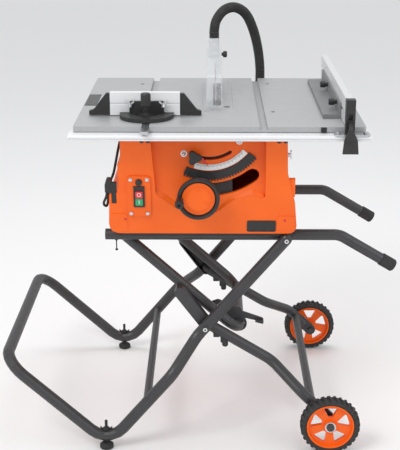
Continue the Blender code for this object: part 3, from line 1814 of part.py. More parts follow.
def cord_coil():
    """Outer shape of the stored turns, four deep, behind the housing."""
    inner, outer = COIL_R - COIL_HALF, COIL_R + COIL_HALF
    edge = CORD_R * 0.6
    profile = (
        (inner, -COIL_HALF + edge),
        (inner + edge, -COIL_HALF),
        (outer - edge, -COIL_HALF),
        (outer, -COIL_HALF + edge),
        (outer, COIL_HALF - edge),
        (outer - edge, COIL_HALF),
        (inner + edge, COIL_HALF),
        (inner, COIL_HALF - edge),
    )
    return add_object("cord_coil", turned(profile, COIL_CENTRE, (0, 1, 0), 32, ring=True), "rubber")


def cord_route():
    """Route of the cord from the plug, up the housing's left side and round its back to the coil."""
    x, y, z = COIL_CENTRE
    top = z + COIL_R
    back = HOUSING_BACK
    return (
        (-0.2930, -0.2580, 0.7138),
        (-0.2940, -0.2578, 0.7040),
        (-0.2985, -0.2570, 0.6930),
        (-0.3020, -0.2530, 0.6840),
        (-0.3015, -0.2450, 0.6750),
        (-0.2970, -0.2360, 0.6700),
        (-0.2955, -0.2210, 0.6710),
        (-0.2945, -0.2070, 0.6830),
        (-0.2940, -0.1980, 0.7010),
        (-0.2890, -0.1950, 0.7250),
        (-0.2800, -0.1950, 0.7480),
        (-0.2740, -0.1950, 0.7750),
        (-0.2690, -0.1940, 0.8000),
        (-0.2640, -0.1870, 0.8240),
        (-0.2600, -0.1600, 0.8400),
        (-0.2595, -0.0900, 0.8450),
        (-0.2595, 0.0000, 0.8420),
        (-0.2600, 0.0900, 0.8330),
        (-0.2620, 0.1700, 0.8150),
        (-0.2680, 0.2300, 0.7900),
        (-0.2700, back - 0.0120, 0.7650),
        (-0.2600, back + 0.0080, 0.7450),
        (-0.2400, y, top + 0.0040),
        (-0.2200, y, top),
        (x - COIL_LEAD - 0.010, y, top),
        (x - COIL_LEAD, y, top),
    )


def power_cord():
    return curve_tube("power_cord", catmull(cord_route(), 3), CORD_R, "rubber", 2)


# ---------------------------------------------------------------- latch


def latch_pedal():
    """Foot pedal that turns on the brace's cross tube: a slotted hook plate and an arm with a tread."""
    x, z = BRACE_CORNER
    low, high = LATCH_Y - LATCH_SHEET / 2, LATCH_Y + LATCH_SHEET / 2
    origin = (x, LATCH_Y, z)
    ring = rod("Y", x, z, BRACE_R + 0.008, low, high, 24)
    obj = add_object("latch_pedal", ring, "stand", origin)
    plate = rounded(
        (
            (x - 0.012, z - 0.018, 0.0),
            (x + 0.016, z + 0.014, 0.0),
            (x + 0.006, z + 0.048, 0.006),
            (x - 0.060, z + 0.074, 0.006),
            (x - 0.092, z + 0.062, 0.008),
            (x - 0.086, z + 0.038, 0.006),
            (x - 0.040, z + 0.006, 0.010),
        ),
        3,
    )
    arm = rounded(
        (
            (x + 0.004, z + 0.020, 0.0),
            (x + 0.066, z + 0.006, 0.003),
            (x + 0.068, z + 0.017, 0.003),
            (x - 0.010, z + 0.045, 0.0),
        ),
        2,
    )
    join(obj, prism(plate, "Y", low, high), prism(arm, "Y", low, high))
    tread = rounded(
        (
            (x + 0.046, z + 0.0090, 0.0),
            (x + 0.068, z + 0.0035, 0.0),
            (x + 0.070, z + 0.0105, 0.0),
            (x + 0.048, z + 0.016, 0.0),
        ),
        1,
    )
    join(obj, prism(tread, "Y", LATCH_Y - 0.014, LATCH_Y + 0.014))
    slot = stadium((x - 0.066, z + 0.046), (x - 0.052, z + 0.059), 0.0045, 6)
    return cut(
        obj,
        rod("Y", x, z, BRACE_R + RUN, low - CUT, high + CUT, 24),
        prism(slot, "Y", low - CUT, high + CUT),
    )


# ---------------------------------------------------------------- assembly


def build_stand():
    for side in (-1, 1):
        stand_rail(side)
        rail_grip(side)
        leg(side)
        levelling_foot(side)
        wheel_arm(side)
        tyre(side)
        rim(side)
    leg_loop()
    leg_cross()
    wheel_cross()
    brace()
    latch_pedal()


def build_saw():
    housing()
    table()
    throat_plate()
    switch_plate()
    switch_body()
    switch_button("button_off", 0.0065, "red", 0.002)
    switch_button("button_on", -0.0145, "green", 0.0015)
    reset_button()
    front_rail()
    dust_port()
    plug()
    power_cord()
    cord_coil()


def build_cutting():
    blade()
    arbor()
    motor()
    carriage()
    splitter()
    guard_hood()
    guard_riser()
    guard_knob()
    hose()


def build_controls():
    bevel_rack()
    bevel_scale()
    lock_knob()
    handwheel()
    handwheel_cover()
    crank_knob()


def build_fences():
    fence_body()
    fence_head()
    fence_foot()
    fence_lever()
    aux_fence()
    for name, y in zip(("aux_knob_back", "aux_knob_front"), AUX_KNOBS):
        aux_knob(name, y)
    gauge_bar()
    gauge_head()
    gauge_fence()
    gauge_end("gauge_end_left", GAUGE_FENCE[0], 0.055, -1)
    gauge_end("gauge_end_right", GAUGE_FENCE[1], 0.056, 1)
    gauge_knob()


def centre_on_origin():
    """Moves everything so that the origin is under the middle of the machine, cord left out."""
    graph = bpy.context.evaluated_depsgraph_get()
    solids = [obj for obj in bpy.data.objects if not obj.hide_render and obj.name not in CORD_NAMES]
    clouds = []
    for obj in solids:
        mesh = obj.evaluated_get(graph).to_mesh()
        points = np.empty(len(mesh.vertices) * 3)
        mesh.vertices.foreach_get("co", points)
        clouds.append(points.reshape(-1, 3) + np.array(obj.location))
    cloud = np.vstack(clouds)
    low, high = cloud.min(axis=0), cloud.max(axis=0)
    shift = Vector(((low[0] + high[0]) / 2, (low[1] + high[1]) / 2, low[2]))
    for obj in bpy.data.objects:
        obj.location -= shift


def main():
    clear_scene()
    build_stand()
    build_saw()
    build_cutting()
    build_controls()
    build_fences()
    centre_on_origin()


main()
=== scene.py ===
"""Looks for the folding-stand table saw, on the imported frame.

Materials, printed scales, screws, treads, the ribbed hose and the mains lead.
"""

import math

import bmesh
import bpy
from mathutils import Matrix, Vector

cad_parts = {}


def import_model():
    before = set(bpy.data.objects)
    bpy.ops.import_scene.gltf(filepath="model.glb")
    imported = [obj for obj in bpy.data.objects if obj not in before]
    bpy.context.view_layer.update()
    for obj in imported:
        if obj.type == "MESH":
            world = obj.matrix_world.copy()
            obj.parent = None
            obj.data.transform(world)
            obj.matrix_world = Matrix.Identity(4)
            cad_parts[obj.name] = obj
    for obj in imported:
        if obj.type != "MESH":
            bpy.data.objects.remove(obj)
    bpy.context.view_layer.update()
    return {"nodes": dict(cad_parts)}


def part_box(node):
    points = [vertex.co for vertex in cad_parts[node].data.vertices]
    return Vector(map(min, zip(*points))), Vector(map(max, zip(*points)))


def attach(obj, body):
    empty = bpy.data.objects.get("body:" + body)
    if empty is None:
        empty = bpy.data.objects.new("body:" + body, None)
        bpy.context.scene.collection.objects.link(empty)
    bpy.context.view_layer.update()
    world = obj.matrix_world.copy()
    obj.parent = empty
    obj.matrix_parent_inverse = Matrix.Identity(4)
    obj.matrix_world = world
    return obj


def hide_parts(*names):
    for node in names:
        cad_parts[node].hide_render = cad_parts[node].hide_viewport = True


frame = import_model()

# ---------------------------------------------------------------- places read from the frame

WHEEL_X = 0.305
TABLE_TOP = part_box("table_top")[1][2]
TYRES = (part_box("tyre_front"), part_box("tyre_back"))
MIDDLE = Vector(
    (
        (TYRES[0][0][0] + TYRES[0][1][0]) / 2 - WHEEL_X,
        (TYRES[0][0][1] + TYRES[1][1][1]) / 2,
        0.0,
    )
)


def at(x, y, z):
    """A point from sizes measured from under the middle of the table."""
    return Vector((x, y, z)) + MIDDLE


def link(name, data):
    """An object of the data, linked into the scene."""
    obj = bpy.data.objects.new(name, data)
    bpy.context.scene.collection.objects.link(obj)
    return obj


def middle_of(low, high):
    """The middle of a box."""
    return Vector([(a + b) / 2 for a, b in zip(low, high)])


# ---------------------------------------------------------------- camera

CAMERA_PLACE = at(-0.021, -3.005, 1.540)
CAMERA_PITCH = 18.43
CAMERA_YAW = 0.59
CAMERA_LENS = 87.8


def make_camera():
    data = bpy.data.cameras.new("camera")
    data.sensor_width = 36.0
    data.lens = CAMERA_LENS
    camera = link("camera", data)
    camera.location = CAMERA_PLACE
    camera.rotation_euler = (math.radians(90 - CAMERA_PITCH), 0.0, math.radians(CAMERA_YAW))
    bpy.context.scene.camera = camera


make_camera()

# ---------------------------------------------------------------- node materials


class Nodes:
    """A Principled material built up by short calls."""

    def __init__(self, name, colour, rough, metal=0.0):
        self.material = bpy.data.materials.new(name)
        self.material.use_nodes = True
        self.tree = self.material.node_tree
        self.shader = self.tree.nodes["Principled BSDF"]
        self.shader.inputs["Base Color"].default_value = (*colour, 1.0)
        self.shader.inputs["Roughness"].default_value = rough
        self.shader.inputs["Metallic"].default_value = metal

    def node(self, kind, **values):
        made = self.tree.nodes.new(kind)
        for key, value in values.items():
            if key in made.inputs:
                made.inputs[key].default_value = value
            else:
                setattr(made, key, value)
        return made

    def join(self, source, target):
        self.tree.links.new(source, target)

    def place(self, stretch=(1, 1, 1)):
        coords = self.node("ShaderNodeTexCoord")
        mapping = self.node("ShaderNodeMapping")
        mapping.inputs["Scale"].default_value = stretch
        self.join(coords.outputs["Object"], mapping.inputs["Vector"])
        return mapping.outputs["Vector"]

    def noise(self, scale, detail=3.0, stretch=(1, 1, 1)):
        noise = self.node("ShaderNodeTexNoise")
        noise.inputs["Scale"].default_value = scale
        noise.inputs["Detail"].default_value = detail
        self.join(self.place(stretch), noise.inputs["Vector"])
        return noise.outputs["Fac"]

    def ramp(self, source, low, high, first=0.3, last=0.7):
        ramp = self.node("ShaderNodeMapRange")
        ramp.inputs["From Min"].default_value = first
        ramp.inputs["From Max"].default_value = last
        ramp.inputs["To Min"].default_value = low
        ramp.inputs["To Max"].default_value = high
        self.join(source, ramp.inputs["Value"])
        return ramp.outputs["Result"]

    def colour_between(self, source, dark, light):
        """Base colour mixed by the source."""
        mix = self.node("ShaderNodeMix", data_type="RGBA")
        mix.inputs[6].default_value = (*dark, 1.0)
        mix.inputs[7].default_value = (*light, 1.0)
        self.join(source, mix.inputs[0])
        self.join(mix.outputs[2], self.shader.inputs["Base Color"])

    def roughness(self, source):
        self.join(source, self.shader.inputs["Roughness"])

    def bump(self, source, strength, distance=0.001, before=None):
        bump = self.node("ShaderNodeBump")
        bump.inputs["Strength"].default_value = strength
        bump.inputs["Distance"].default_value = distance
        self.join(source, bump.inputs["Height"])
        if before:
            self.join(before.outputs["Normal"], bump.inputs["Normal"])
        self.join(bump.outputs["Normal"], self.shader.inputs["Normal"])
        return bump


def orange_plastic():
    made = Nodes("orange_plastic", (0.85, 0.13, 0.005), 0.42)
    made.colour_between(made.ramp(made.noise(9.0), 0.0, 1.0), (0.86, 0.118, 0.003), (0.93, 0.142, 0.004))
    made.roughness(made.ramp(made.noise(40.0), 0.36, 0.48))
    fine = made.bump(made.noise(1400.0, 2.0), 0.10, 0.0002)
    made.bump(made.noise(14.0, 1.0), 0.06, 0.002, fine)
    made.shader.inputs["Specular IOR Level"].default_value = 0.40
    return made.material


def black_plastic(name="black_plastic", level=0.018, rough=0.45):
    made = Nodes(name, (level, level, level * 1.05), rough)
    made.colour_between(made.noise(60.0), (level * 0.7,) * 3, (level * 1.6,) * 3)
    made.roughness(made.ramp(made.noise(120.0), rough - 0.08, rough + 0.10))
    made.bump(made.noise(1600.0, 2.0), 0.16, 0.0002)
    return made.material


def rubber(name="rubber", level=0.022, scale=900.0):
    made = Nodes(name, (level,) * 3, 0.75)
    made.colour_between(made.noise(30.0), (level * 0.7,) * 3, (level * 1.7,) * 3)
    made.roughness(made.ramp(made.noise(80.0), 0.62, 0.86))
    made.bump(made.noise(scale, 2.0), 0.25, 0.0003)
    return made.material


def stand_paint():
    made = Nodes("stand_paint", (0.052, 0.052, 0.056), 0.40)
    made.colour_between(made.noise(25.0), (0.024, 0.024, 0.026), (0.042, 0.042, 0.045))
    made.roughness(made.ramp(made.noise(180.0), 0.34, 0.50))
    made.bump(made.noise(700.0, 3.0), 0.22, 0.0003)
    made.shader.inputs["Specular IOR Level"].default_value = 0.6
    return made.material


def cast_top(name, dark, light, rough, grain=(60.0, 2.5, 1.0)):
    """Ground cast surface: fine lines along the feed direction over a cloudy base."""
    made = Nodes(name, light, rough, 0.35)
    lines = made.noise(26.0, 6.0, grain)
    made.colour_between(lines, dark, light)
    made.roughness(made.ramp(made.noise(18.0, 4.0), rough - 0.06, rough + 0.10))
    made.bump(lines, 0.10, 0.0003)
    return made.material


def brushed(name, dark, light, rough, stretch, metal=1.0):
    made = Nodes(name, light, rough, metal)
    lines = made.noise(40.0, 5.0, stretch)
    made.colour_between(lines, dark, light)
    made.roughness(made.ramp(lines, rough - 0.06, rough + 0.08))
    made.bump(lines, 0.08, 0.0002)
    return made.material


def clear_plastic():
    made = Nodes("clear_guard", (0.74, 0.77, 0.79), 0.10)
    made.shader.inputs["Transmission Weight"].default_value = 0.30
    made.shader.inputs["IOR"].default_value = 1.30
    made.shader.inputs["Alpha"].default_value = 0.24
    made.roughness(made.ramp(made.noise(30.0), 0.06, 0.20))
    made.bump(made.noise(50.0, 2.0), 0.05, 0.0005)
    return made.material


def gloss(name, dark, light, rough=0.28):
    made = Nodes(name, light, rough)
    made.colour_between(made.noise(35.0), dark, light)
    made.roughness(made.ramp(made.noise(90.0), rough - 0.05, rough + 0.08))
    made.bump(made.noise(900.0), 0.06, 0.0002)
    made.shader.inputs["Coat Weight"].default_value = 0.3
    return made.material


ORANGE = orange_plastic()
BLACK = black_plastic()
SATIN_BLACK = black_plastic("satin_black", 0.012, 0.30)
RUBBER = rubber()
TYRE = rubber("tyre", 0.026, 500.0)
PAINT = stand_paint()
CAST = cast_top("cast_top", (0.40, 0.405, 0.41), (0.47, 0.475, 0.48), 0.46)
FENCE_GREY = cast_top("fence_grey", (0.20, 0.205, 0.21), (0.27, 0.275, 0.28), 0.5)
# Near-black carriage: painted shade of the housing's interior, as seen through the lock slot.
CARRIAGE_SHADE = cast_top("carriage_painted_shade", (0.035, 0.034, 0.034), (0.055, 0.053, 0.052), 0.55, (3.0, 3.0, 3.0))
EXTRUSION_X = brushed(
    "extrusion_across",
    (0.76, 0.77, 0.78),
    (0.88, 0.89, 0.90),
    0.42,
    (1.0, 60.0, 60.0),
    0.25,
)
EXTRUSION_Y = brushed(
    "extrusion_along",
    (0.60, 0.61, 0.62),
    (0.78, 0.79, 0.80),
    0.42,
    (60.0, 1.0, 60.0),
    0.35,
)
STEEL = brushed("steel", (0.50, 0.50, 0.52), (0.78, 0.78, 0.80), 0.25, (30.0, 30.0, 30.0))
CLEAR = clear_plastic()
RED = gloss("red_button", (0.60, 0.010, 0.015), (0.78, 0.030, 0.035))
GREEN = gloss("green_button", (0.015, 0.26, 0.10), (0.03, 0.38, 0.15))
WHITE = gloss("white_print", (0.78, 0.78, 0.76), (0.86, 0.86, 0.84), 0.40)
INK = gloss("ink", (0.010, 0.010, 0.011), (0.020, 0.020, 0.022), 0.45)
# Dark red that paints the shade inside the front's small screw recesses.
RECESS_SHADE_RED = gloss("recess_painted_shade", (0.50, 0.012, 0.010), (0.65, 0.020, 0.015), 0.45)

NODE_LOOKS = {
    "housing": ORANGE,
    "switch_plate": ORANGE,
    "handwheel_cover": ORANGE,
    "rim_front": ORANGE,
    "rim_back": ORANGE,
    "table_top": CAST,
    "throat_plate": CAST,
    # carriage painted near-black as the shade inside the housing
    "carriage": CARRIAGE_SHADE,
    "front_rail": EXTRUSION_X,
    "gauge_fence": EXTRUSION_X,
    "fence_body": EXTRUSION_Y,
    "aux_fence": FENCE_GREY,
    "gauge_bar": STEEL,
    "fence_foot": STEEL,
    "blade": STEEL,
    "arbor": STEEL,
    "splitter": STEEL,
    "bevel_scale": WHITE,
    "guard_hood": CLEAR,
    "guard_riser": CLEAR,
    "button_off": RED,
    "button_on": GREEN,
    "tyre_front": TYRE,
    "tyre_back": TYRE,
    "rail_grip_front": RUBBER,
    "rail_grip_back": RUBBER,
    "levelling_foot_front": RUBBER,
    "levelling_foot_back": RUBBER,
    "hose": RUBBER,
    "power_cord": RUBBER,
    "cord_coil": RUBBER,
}
PAINTED = ("leg_", "rail_front", "rail_back", "brace", "wheel_", "latch")


def dress_nodes():
    for name in frame["nodes"]:
        look = NODE_LOOKS.get(name)
        if look is None:
            look = PAINT if name.startswith(PAINTED) else BLACK
        obj = bpy.data.objects[name]
        if not obj.material_slots:
            obj.data.materials.append(look)
        for place in obj.material_slots:
            place.material = look


dress_nodes()

# ---------------------------------------------------------------- piece helpers

SMOOTH_BELOW = math.radians(35)
TOUCHING = 1e-7
PARALLEL = 1e-6
SUNK = 0.0006


def piece(name, bm, look, body, smooth=True):
    """A mesh piece that rides on a body, in the finish it is given."""
    bmesh.ops.remove_doubles(bm, verts=bm.verts, dist=TOUCHING)
    bmesh.ops.recalc_face_normals(bm, faces=bm.faces)
    mesh = bpy.data.meshes.new(name)
    bm.to_mesh(mesh)
    bm.free()
    if smooth:
        mesh.shade_smooth()
        mesh.set_sharp_from_angle(angle=SMOOTH_BELOW)
    mesh.materials.append(look)
    obj = link(name, mesh)
    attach(obj, body)
    return obj


def add_prism(bm, outline, matrix, low, high):
    """A closed prism of an (x, y) outline between two heights of a local frame."""
    lower = [bm.verts.new(matrix @ Vector((x, y, low))) for x, y in outline]
    upper = [bm.verts.new(matrix @ Vector((x, y, high))) for x, y in outline]
    bm.faces.new(lower)
    bm.faces.new(list(reversed(upper)))
    for i in range(len(outline)):
        j = (i + 1) % len(outline)
        bm.faces.new((lower[i], upper[i], upper[j], lower[j]))


def polygon(count, radius):
    """Corners of a regular polygon; with many of them, a circle."""
    angles = [2 * math.pi * k / count for k in range(count)]
    return [(radius * math.cos(angle), radius * math.sin(angle)) for angle in angles]


def skin(bm, loops):
    """Faces between neighbouring loops that have the same number of points."""
    for a, b in zip(loops, loops[1:]):
        for i in range(len(a)):
            j = (i + 1) % len(a)
            bm.faces.new((a[i], a[j], b[j], b[i]))


def add_turned(bm, profile, matrix, count=20):
    """A closed body of revolution about the local Z axis, from (radius, height) points."""
    loops = []
    for radius, height in profile:
        circle = polygon(count, radius)
        loops.append([bm.verts.new(matrix @ Vector((x, y, height))) for x, y in circle])
    skin(bm, loops)
    bm.faces.new(list(reversed(loops[0])))
    bm.faces.new(loops[-1])


def add_frame(bm, outer, inner, matrix, low, high):
    """A flat closed frame between two outlines with the same number of points."""
    loops = []
    for outline, height in ((outer, low), (outer, high), (inner, high), (inner, low)):
        loops.append([bm.verts.new(matrix @ Vector((x, y, height))) for x, y in outline])
    skin(bm, loops + loops[:1])


def add_ring(bm, matrix, inner, outer, low, high, count=24):
    """A flat ring: a square-edged washer."""
    loops = []
    for radius, height in ((inner, low), (outer, low), (outer, high), (inner, high)):
        circle = polygon(count, radius)
        loops.append([bm.verts.new(matrix @ Vector((x, y, height))) for x, y in circle])
    skin(bm, loops + loops[:1])


def rectangle(width, height, cx=0.0, cy=0.0):
    w, h = width / 2, height / 2
    return [(cx - w, cy - h), (cx + w, cy - h), (cx + w, cy + h), (cx - w, cy + h)]


def rounded_rectangle(width, height, radius, count=4):
    points = []
    for sx, sy, start in ((1, -1, -90), (1, 1, 0), (-1, 1, 90), (-1, -1, 180)):
        for k in range(count + 1):
            angle = math.radians(start + 90 * k / count)
            x = sx * (width / 2 - radius) + radius * math.cos(angle)
            y = sy * (height / 2 - radius) + radius * math.sin(angle)
            points.append((x, y))
    return points


def facing(point, normal, up=(0, 0, 1)):
    """A local frame at a point whose Z runs along the normal."""
    z = Vector(normal).normalized()
    x = Vector(up).cross(z)
    if x.length < PARALLEL:
        x = Vector((1, 0, 0))
    x.normalize()
    y = z.cross(x)
    turn = Matrix((x, y, z)).transposed().to_4x4()
    return Matrix.Translation(point) @ turn


def pan_head(bm, point, normal, radius, rise):
    """A low domed screw head."""
    profile = ((radius, -SUNK), (radius, rise * 0.45), (radius * 0.75, rise * 0.9), (radius * 0.3, rise))
    add_turned(bm, profile, facing(point, normal), 16)


# ---------------------------------------------------------------- hose and power cord


def catmull(points, per):
    """A smooth path through the points, with this many steps to each span."""
    points = [Vector(p) for p in points]
    padded = [points[0] * 2 - points[1]] + points + [points[-1] * 2 - points[-2]]
    out = []
    for a, b, c, d in zip(padded, padded[1:], padded[2:], padded[3:]):
        for k in range(per):
            t = k / per
            square = 2 * a - 5 * b + 4 * c - d
            cube = 3 * b - a - 3 * c + d
            out.append(0.5 * (2 * b + (c - a) * t + square * t * t + cube * t**3))
    out.append(points[-1])
    return out


def evenly(points, spacing):
    """Points along a path at an even spacing."""
    out = [points[0].copy()]
    left = spacing
    for a, b in zip(points, points[1:]):
        span = (b - a).length
        done = 0.0
        while span - done >= left:
            done += left
            out.append(a + (b - a) * (done / span))
            left = spacing
        left -= span - done
    if (out[-1] - points[-1]).length > spacing * 0.3:
        out.append(points[-1].copy())
    else:
        out[-1] = points[-1].copy()
    return out


HOSE_R = 0.0148
HOSE_RIB = 0.0052
GUARD_X = -0.0125
RISER_Y = 0.212
PORT = (0.128, 0.350, 0.750)
PORT_BORE_Y = PORT[1] - 0.008
RIB_WAVE = (0.0, -0.0007, -0.0016, -0.0007)
HOSE_SIDES = 24


def hose_route():
    """From the mouth on the guard's riser, over the back of the table and down to the dust port."""
    x = GUARD_X
    top = TABLE_TOP
    return [
        at(x, RISER_Y, top + 0.1405),
        at(x, RISER_Y, top + 0.151),
        at(x, RISER_Y, top + 0.162),
        at(x + 0.006, RISER_Y + 0.004, top + 0.190),
        at(x + 0.028, RISER_Y + 0.018, top + 0.217),
        at(x + 0.060, RISER_Y + 0.048, top + 0.222),
        at(x + 0.092, RISER_Y + 0.084, top + 0.200),
        at(x + 0.115, RISER_Y + 0.112, top + 0.155),
        at(x + 0.132, RISER_Y + 0.136, top + 0.095),
        at(x + 0.141, RISER_Y + 0.141, top + 0.030),
        at(x + 0.141, RISER_Y + 0.137, top - 0.040),
        at(PORT[0], PORT_BORE_Y, PORT[2] + 0.092),
        at(PORT[0], PORT_BORE_Y, PORT[2] + 0.075),
        at(PORT[0], PORT_BORE_Y, PORT[2] + 0.0585),
    ]


def tube_rings(bm, path, radius_at, sides):
    """A tube whose radius changes along its path."""
    side = (path[1] - path[0]).normalized().orthogonal().normalized()
    circle = polygon(sides, 1.0)
    loops = []
    for i, point in enumerate(path):
        tangent = (path[min(i + 1, len(path) - 1)] - path[max(i - 1, 0)]).normalized()
        side = (side - tangent * side.dot(tangent)).normalized()
        up = tangent.cross(side)
        radius = radius_at(i)
        loops.append([bm.verts.new(point + (side * x + up * y) * radius) for x, y in circle])
    skin(bm, loops)
    bm.faces.new(list(reversed(loops[0])))
    bm.faces.new(loops[-1])


def make_hose():
    """Ribbed hose: four rings to each rib."""
    path = evenly(catmull(hose_route(), 12), HOSE_RIB / len(RIB_WAVE))
    bm = bmesh.new()
    tube_rings(bm, path, lambda i: HOSE_R + RIB_WAVE[i % len(RIB_WAVE)], HOSE_SIDES)
    obj = piece("hose_ribbed", bm, RUBBER, "base")
    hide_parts("hose")
    thinned = [tuple(p) for p in path[::3]]
    if (len(path) - 1) % 3:
        thinned.append(tuple(path[-1]))


make_hose()

CORD_R = 0.0035
COIL_R = 0.0385
COIL_TURNS = 3.5
COIL_STEPS = 22
COIL_LEAD = 0.0335
COIL_CENTRE = Vector((-0.165, 0.2905, 0.690))
COIL_SPREAD = CORD_R * 1.44
SHIFT_FROM = 0.72
SHIFT_OVER = 0.16


def coil_turns():
    """Three and a half turns laid two by two: outer front, inner front, inner back, outer back."""
    x, y, z = COIL_CENTRE
    points = []
    for k in range(round(COIL_TURNS * COIL_STEPS) + 1):
        turn = k / COIL_STEPS
        whole = math.floor(turn)
        shift = min(max((turn - whole - SHIFT_FROM) / SHIFT_OVER, 0.0), 1.0)
        lay = math.radians(-45 - 90 * (whole + shift))
        radius = COIL_R + COIL_SPREAD * math.cos(lay)
        along = COIL_SPREAD * math.sin(lay)
        angle = -math.pi / 2 + 2 * math.pi * turn
        points.append(at(x + radius * math.cos(angle), y + along, z + radius * math.sin(angle)))
    return points


def cord_route():
    """From the sleeve on the rear wall, round the coil, along the left side and into the plug."""
    x, y, z = COIL_CENTRE
    low, top = z - COIL_R, z + COIL_R
    points = [at(x - COIL_LEAD, y, low), at(x - COIL_LEAD + 0.008, y, low)]
    points += coil_turns()
    points += [
        at(x - COIL_LEAD + 0.008, y, top),
        at(x - COIL_LEAD, y, top),
        at(-0.2085, y, top),
        at(-0.2200, y, top),
        at(-0.2400, y, 0.7325),
        at(-0.2600, 0.2880, 0.7450),
        at(-0.2700, 0.2680, 0.7650),
        at(-0.2680, 0.2300, 0.7900),
        at(-0.2620, 0.1700, 0.8150),
        at(-0.2600, 0.0900, 0.8330),
        at(-0.2595, 0.0000, 0.8420),
        at(-0.2595, -0.0900, 0.8450),
        at(-0.2600, -0.1600, 0.8400),
        at(-0.2640, -0.1870, 0.8240),
        at(-0.2690, -0.1940, 0.8000),
        at(-0.2740, -0.1950, 0.7750),
        at(-0.2800, -0.1950, 0.7480),
        at(-0.2890, -0.1950, 0.7250),
        at(-0.2940, -0.1980, 0.7010),
        at(-0.2945, -0.2070, 0.6830),
        at(-0.2955, -0.2210, 0.6710),
        at(-0.2970, -0.2360, 0.6700),
        at(-0.3015, -0.2450, 0.6750),
        at(-0.3020, -0.2530, 0.6840),
        at(-0.2985, -0.2570, 0.6930),
        at(-0.2940, -0.2578, 0.7040),
        at(-0.2930, -0.2580, 0.7138),
    ]
    return points


def make_cord():
    """The mains lead, as a round curve."""
    points = catmull(cord_route(), 3)
    data = bpy.data.curves.new("mains_lead", "CURVE")
    data.dimensions = "3D"
    spline = data.splines.new("POLY")
    spline.points.add(len(points) - 1)
    for place, point in zip(spline.points, points):
        place.co = (*point, 1.0)
    data.bevel_depth = CORD_R
    data.bevel_resolution = 4
    data.use_fill_caps = True
    data.materials.append(RUBBER)
    obj = link("mains_lead", data)
    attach(obj, "base")
    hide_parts("power_cord", "cord_coil")


make_cord()

# ---------------------------------------------------------------- table, rail and fence details


TABLE_SCREWS = ((-0.225, 0.228), (0.146, 0.233), (0.143, -0.149), (-0.225, -0.149))
THROAT_SCREWS = ((-0.034, 0.283), (0.028, 0.284), (-0.036, -0.142), (0.031, 0.235))


def table_screws():
    """Flat screw heads in the table and bright ones in the throat plate."""
    bm = bmesh.new()
    for x, y in TABLE_SCREWS:
        local = facing(at(x, y, TABLE_TOP), (0, 0, 1))
        add_turned(bm, ((0.0052, -0.0002), (0.0052, 0.0004), (0.0030, 0.0005)), local, 18)
    piece("table_screws", bm, SATIN_BLACK, "base")
    bm = bmesh.new()
    for x, y in THROAT_SCREWS:
        local = facing(at(x, y, TABLE_TOP), (0, 0, 1))
        add_turned(bm, ((0.0040, -0.0002), (0.0040, 0.0005), (0.0024, 0.0007)), local, 18)
    piece("throat_screws", bm, STEEL, "base")


def table_label():
    """Dark plate let into the table's left edge, and the small black stop on its front edge."""
    bm = bmesh.new()
    local = Matrix.Translation(at(-0.3485, -0.003, TABLE_TOP))
    add_prism(bm, rounded_rectangle(0.034, 0.150, 0.003), local, -0.0005, 0.0004)
    piece("table_label", bm, SATIN_BLACK, "base")
    bm = bmesh.new()
    local = facing(at(0.261, -0.3232, 0.8980), (0, -1, 0))
    add_prism(bm, rounded_rectangle(0.014, 0.013, 0.001), local, -0.001, 0.003)
    piece("edge_stop", bm, SATIN_BLACK, "base")


RAIL_MARKS = 127
RAIL_MARKS_FROM = -0.365
RAIL_MARK_STEP = 0.0058
RAIL_SCREWS_X = (-0.195, -0.179, 0.150, 0.166)


def rail_scale():
    """Scale lines on the front rail's top, longer at every fifth and tenth."""
    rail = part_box("front_rail")
    bm = bmesh.new()
    y = rail[0][1] - MIDDLE.y
    top = rail[1][2]
    for k in range(RAIL_MARKS):
        x = RAIL_MARKS_FROM + k * RAIL_MARK_STEP
        tall = 0.0065 if k % 10 == 0 else 0.0048 if k % 5 == 0 else 0.0032
        local = facing(at(x, y + 0.014, top), (0, 0, 1))
        add_prism(bm, rectangle(0.0007, tall, 0.0, -tall / 2 + 0.004), local, 0.0, 0.00015)
    piece("rail_scale", bm, INK, "base", False)


def rail_fixings():
    """Screw heads under the front rail."""
    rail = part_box("front_rail")
    bm = bmesh.new()
    low = rail[0][2]
    for x in RAIL_SCREWS_X:
        local = facing(at(x, -0.3345, low - 0.0002), (0, 0, -1))
        add_turned(bm, ((0.0055, 0.0), (0.0055, 0.008), (0.0035, 0.010)), local, 14)
    piece("rail_screws", bm, BLACK, "base")


table_screws()
rail_scale()
rail_fixings()

# ---------------------------------------------------------------- front of the housing

FACE_TOP = 0.8912
FACE_FOOT = 0.5985
FACE_TOP_Y = -0.300
SLOPE = 0.045 / (FACE_TOP - FACE_FOOT)
FACE_LEAN = math.atan(SLOPE)
FACE_NORMAL = Vector((0, -math.cos(FACE_LEAN), -math.sin(FACE_LEAN)))

TILT_X = -0.026
RECESS_FACE = -0.262
STUD_R = 0.098
STUD_AT = -22.5


def face_frame(x, z, proud=0.0):
    """A local frame on the leaning front: X to the right, Y up the face, Z out of it."""
    y = FACE_TOP_Y + (FACE_TOP - z) * SLOPE
    return facing(at(x, y, z) + FACE_NORMAL * proud, FACE_NORMAL)


def badge():
    """Plain dark name plate with a raised rim and nothing on it."""
    bm = bmesh.new()
    local = face_frame(0.1125, 0.6225)
    edge = rounded_rectangle(0.076, 0.032, 0.004)
    add_prism(bm, edge, local, -0.0005, 0.0012)
    add_frame(bm, edge, rounded_rectangle(0.072, 0.028, 0.003), local, 0.0012, 0.0019)
    piece("badge", bm, SATIN_BLACK, "base")


def tilt_point(radius, degrees):
    """(x, z) at a radius from the tilt axis, by the angle from straight down."""
    angle = math.radians(degrees)
    return (TILT_X + radius * math.sin(angle), TABLE_TOP - radius * math.cos(angle))


RECESS_EDGE = (
    (-0.1640, 0.7120),
    (-0.1120, 0.6735),
    (-0.0600, 0.6610),
    (-0.0150, 0.6570),
    (0.0380, 0.6990),
    (0.0880, 0.7110),
    (0.1180, 0.7020),
)
LEDGE_RISE = 0.016


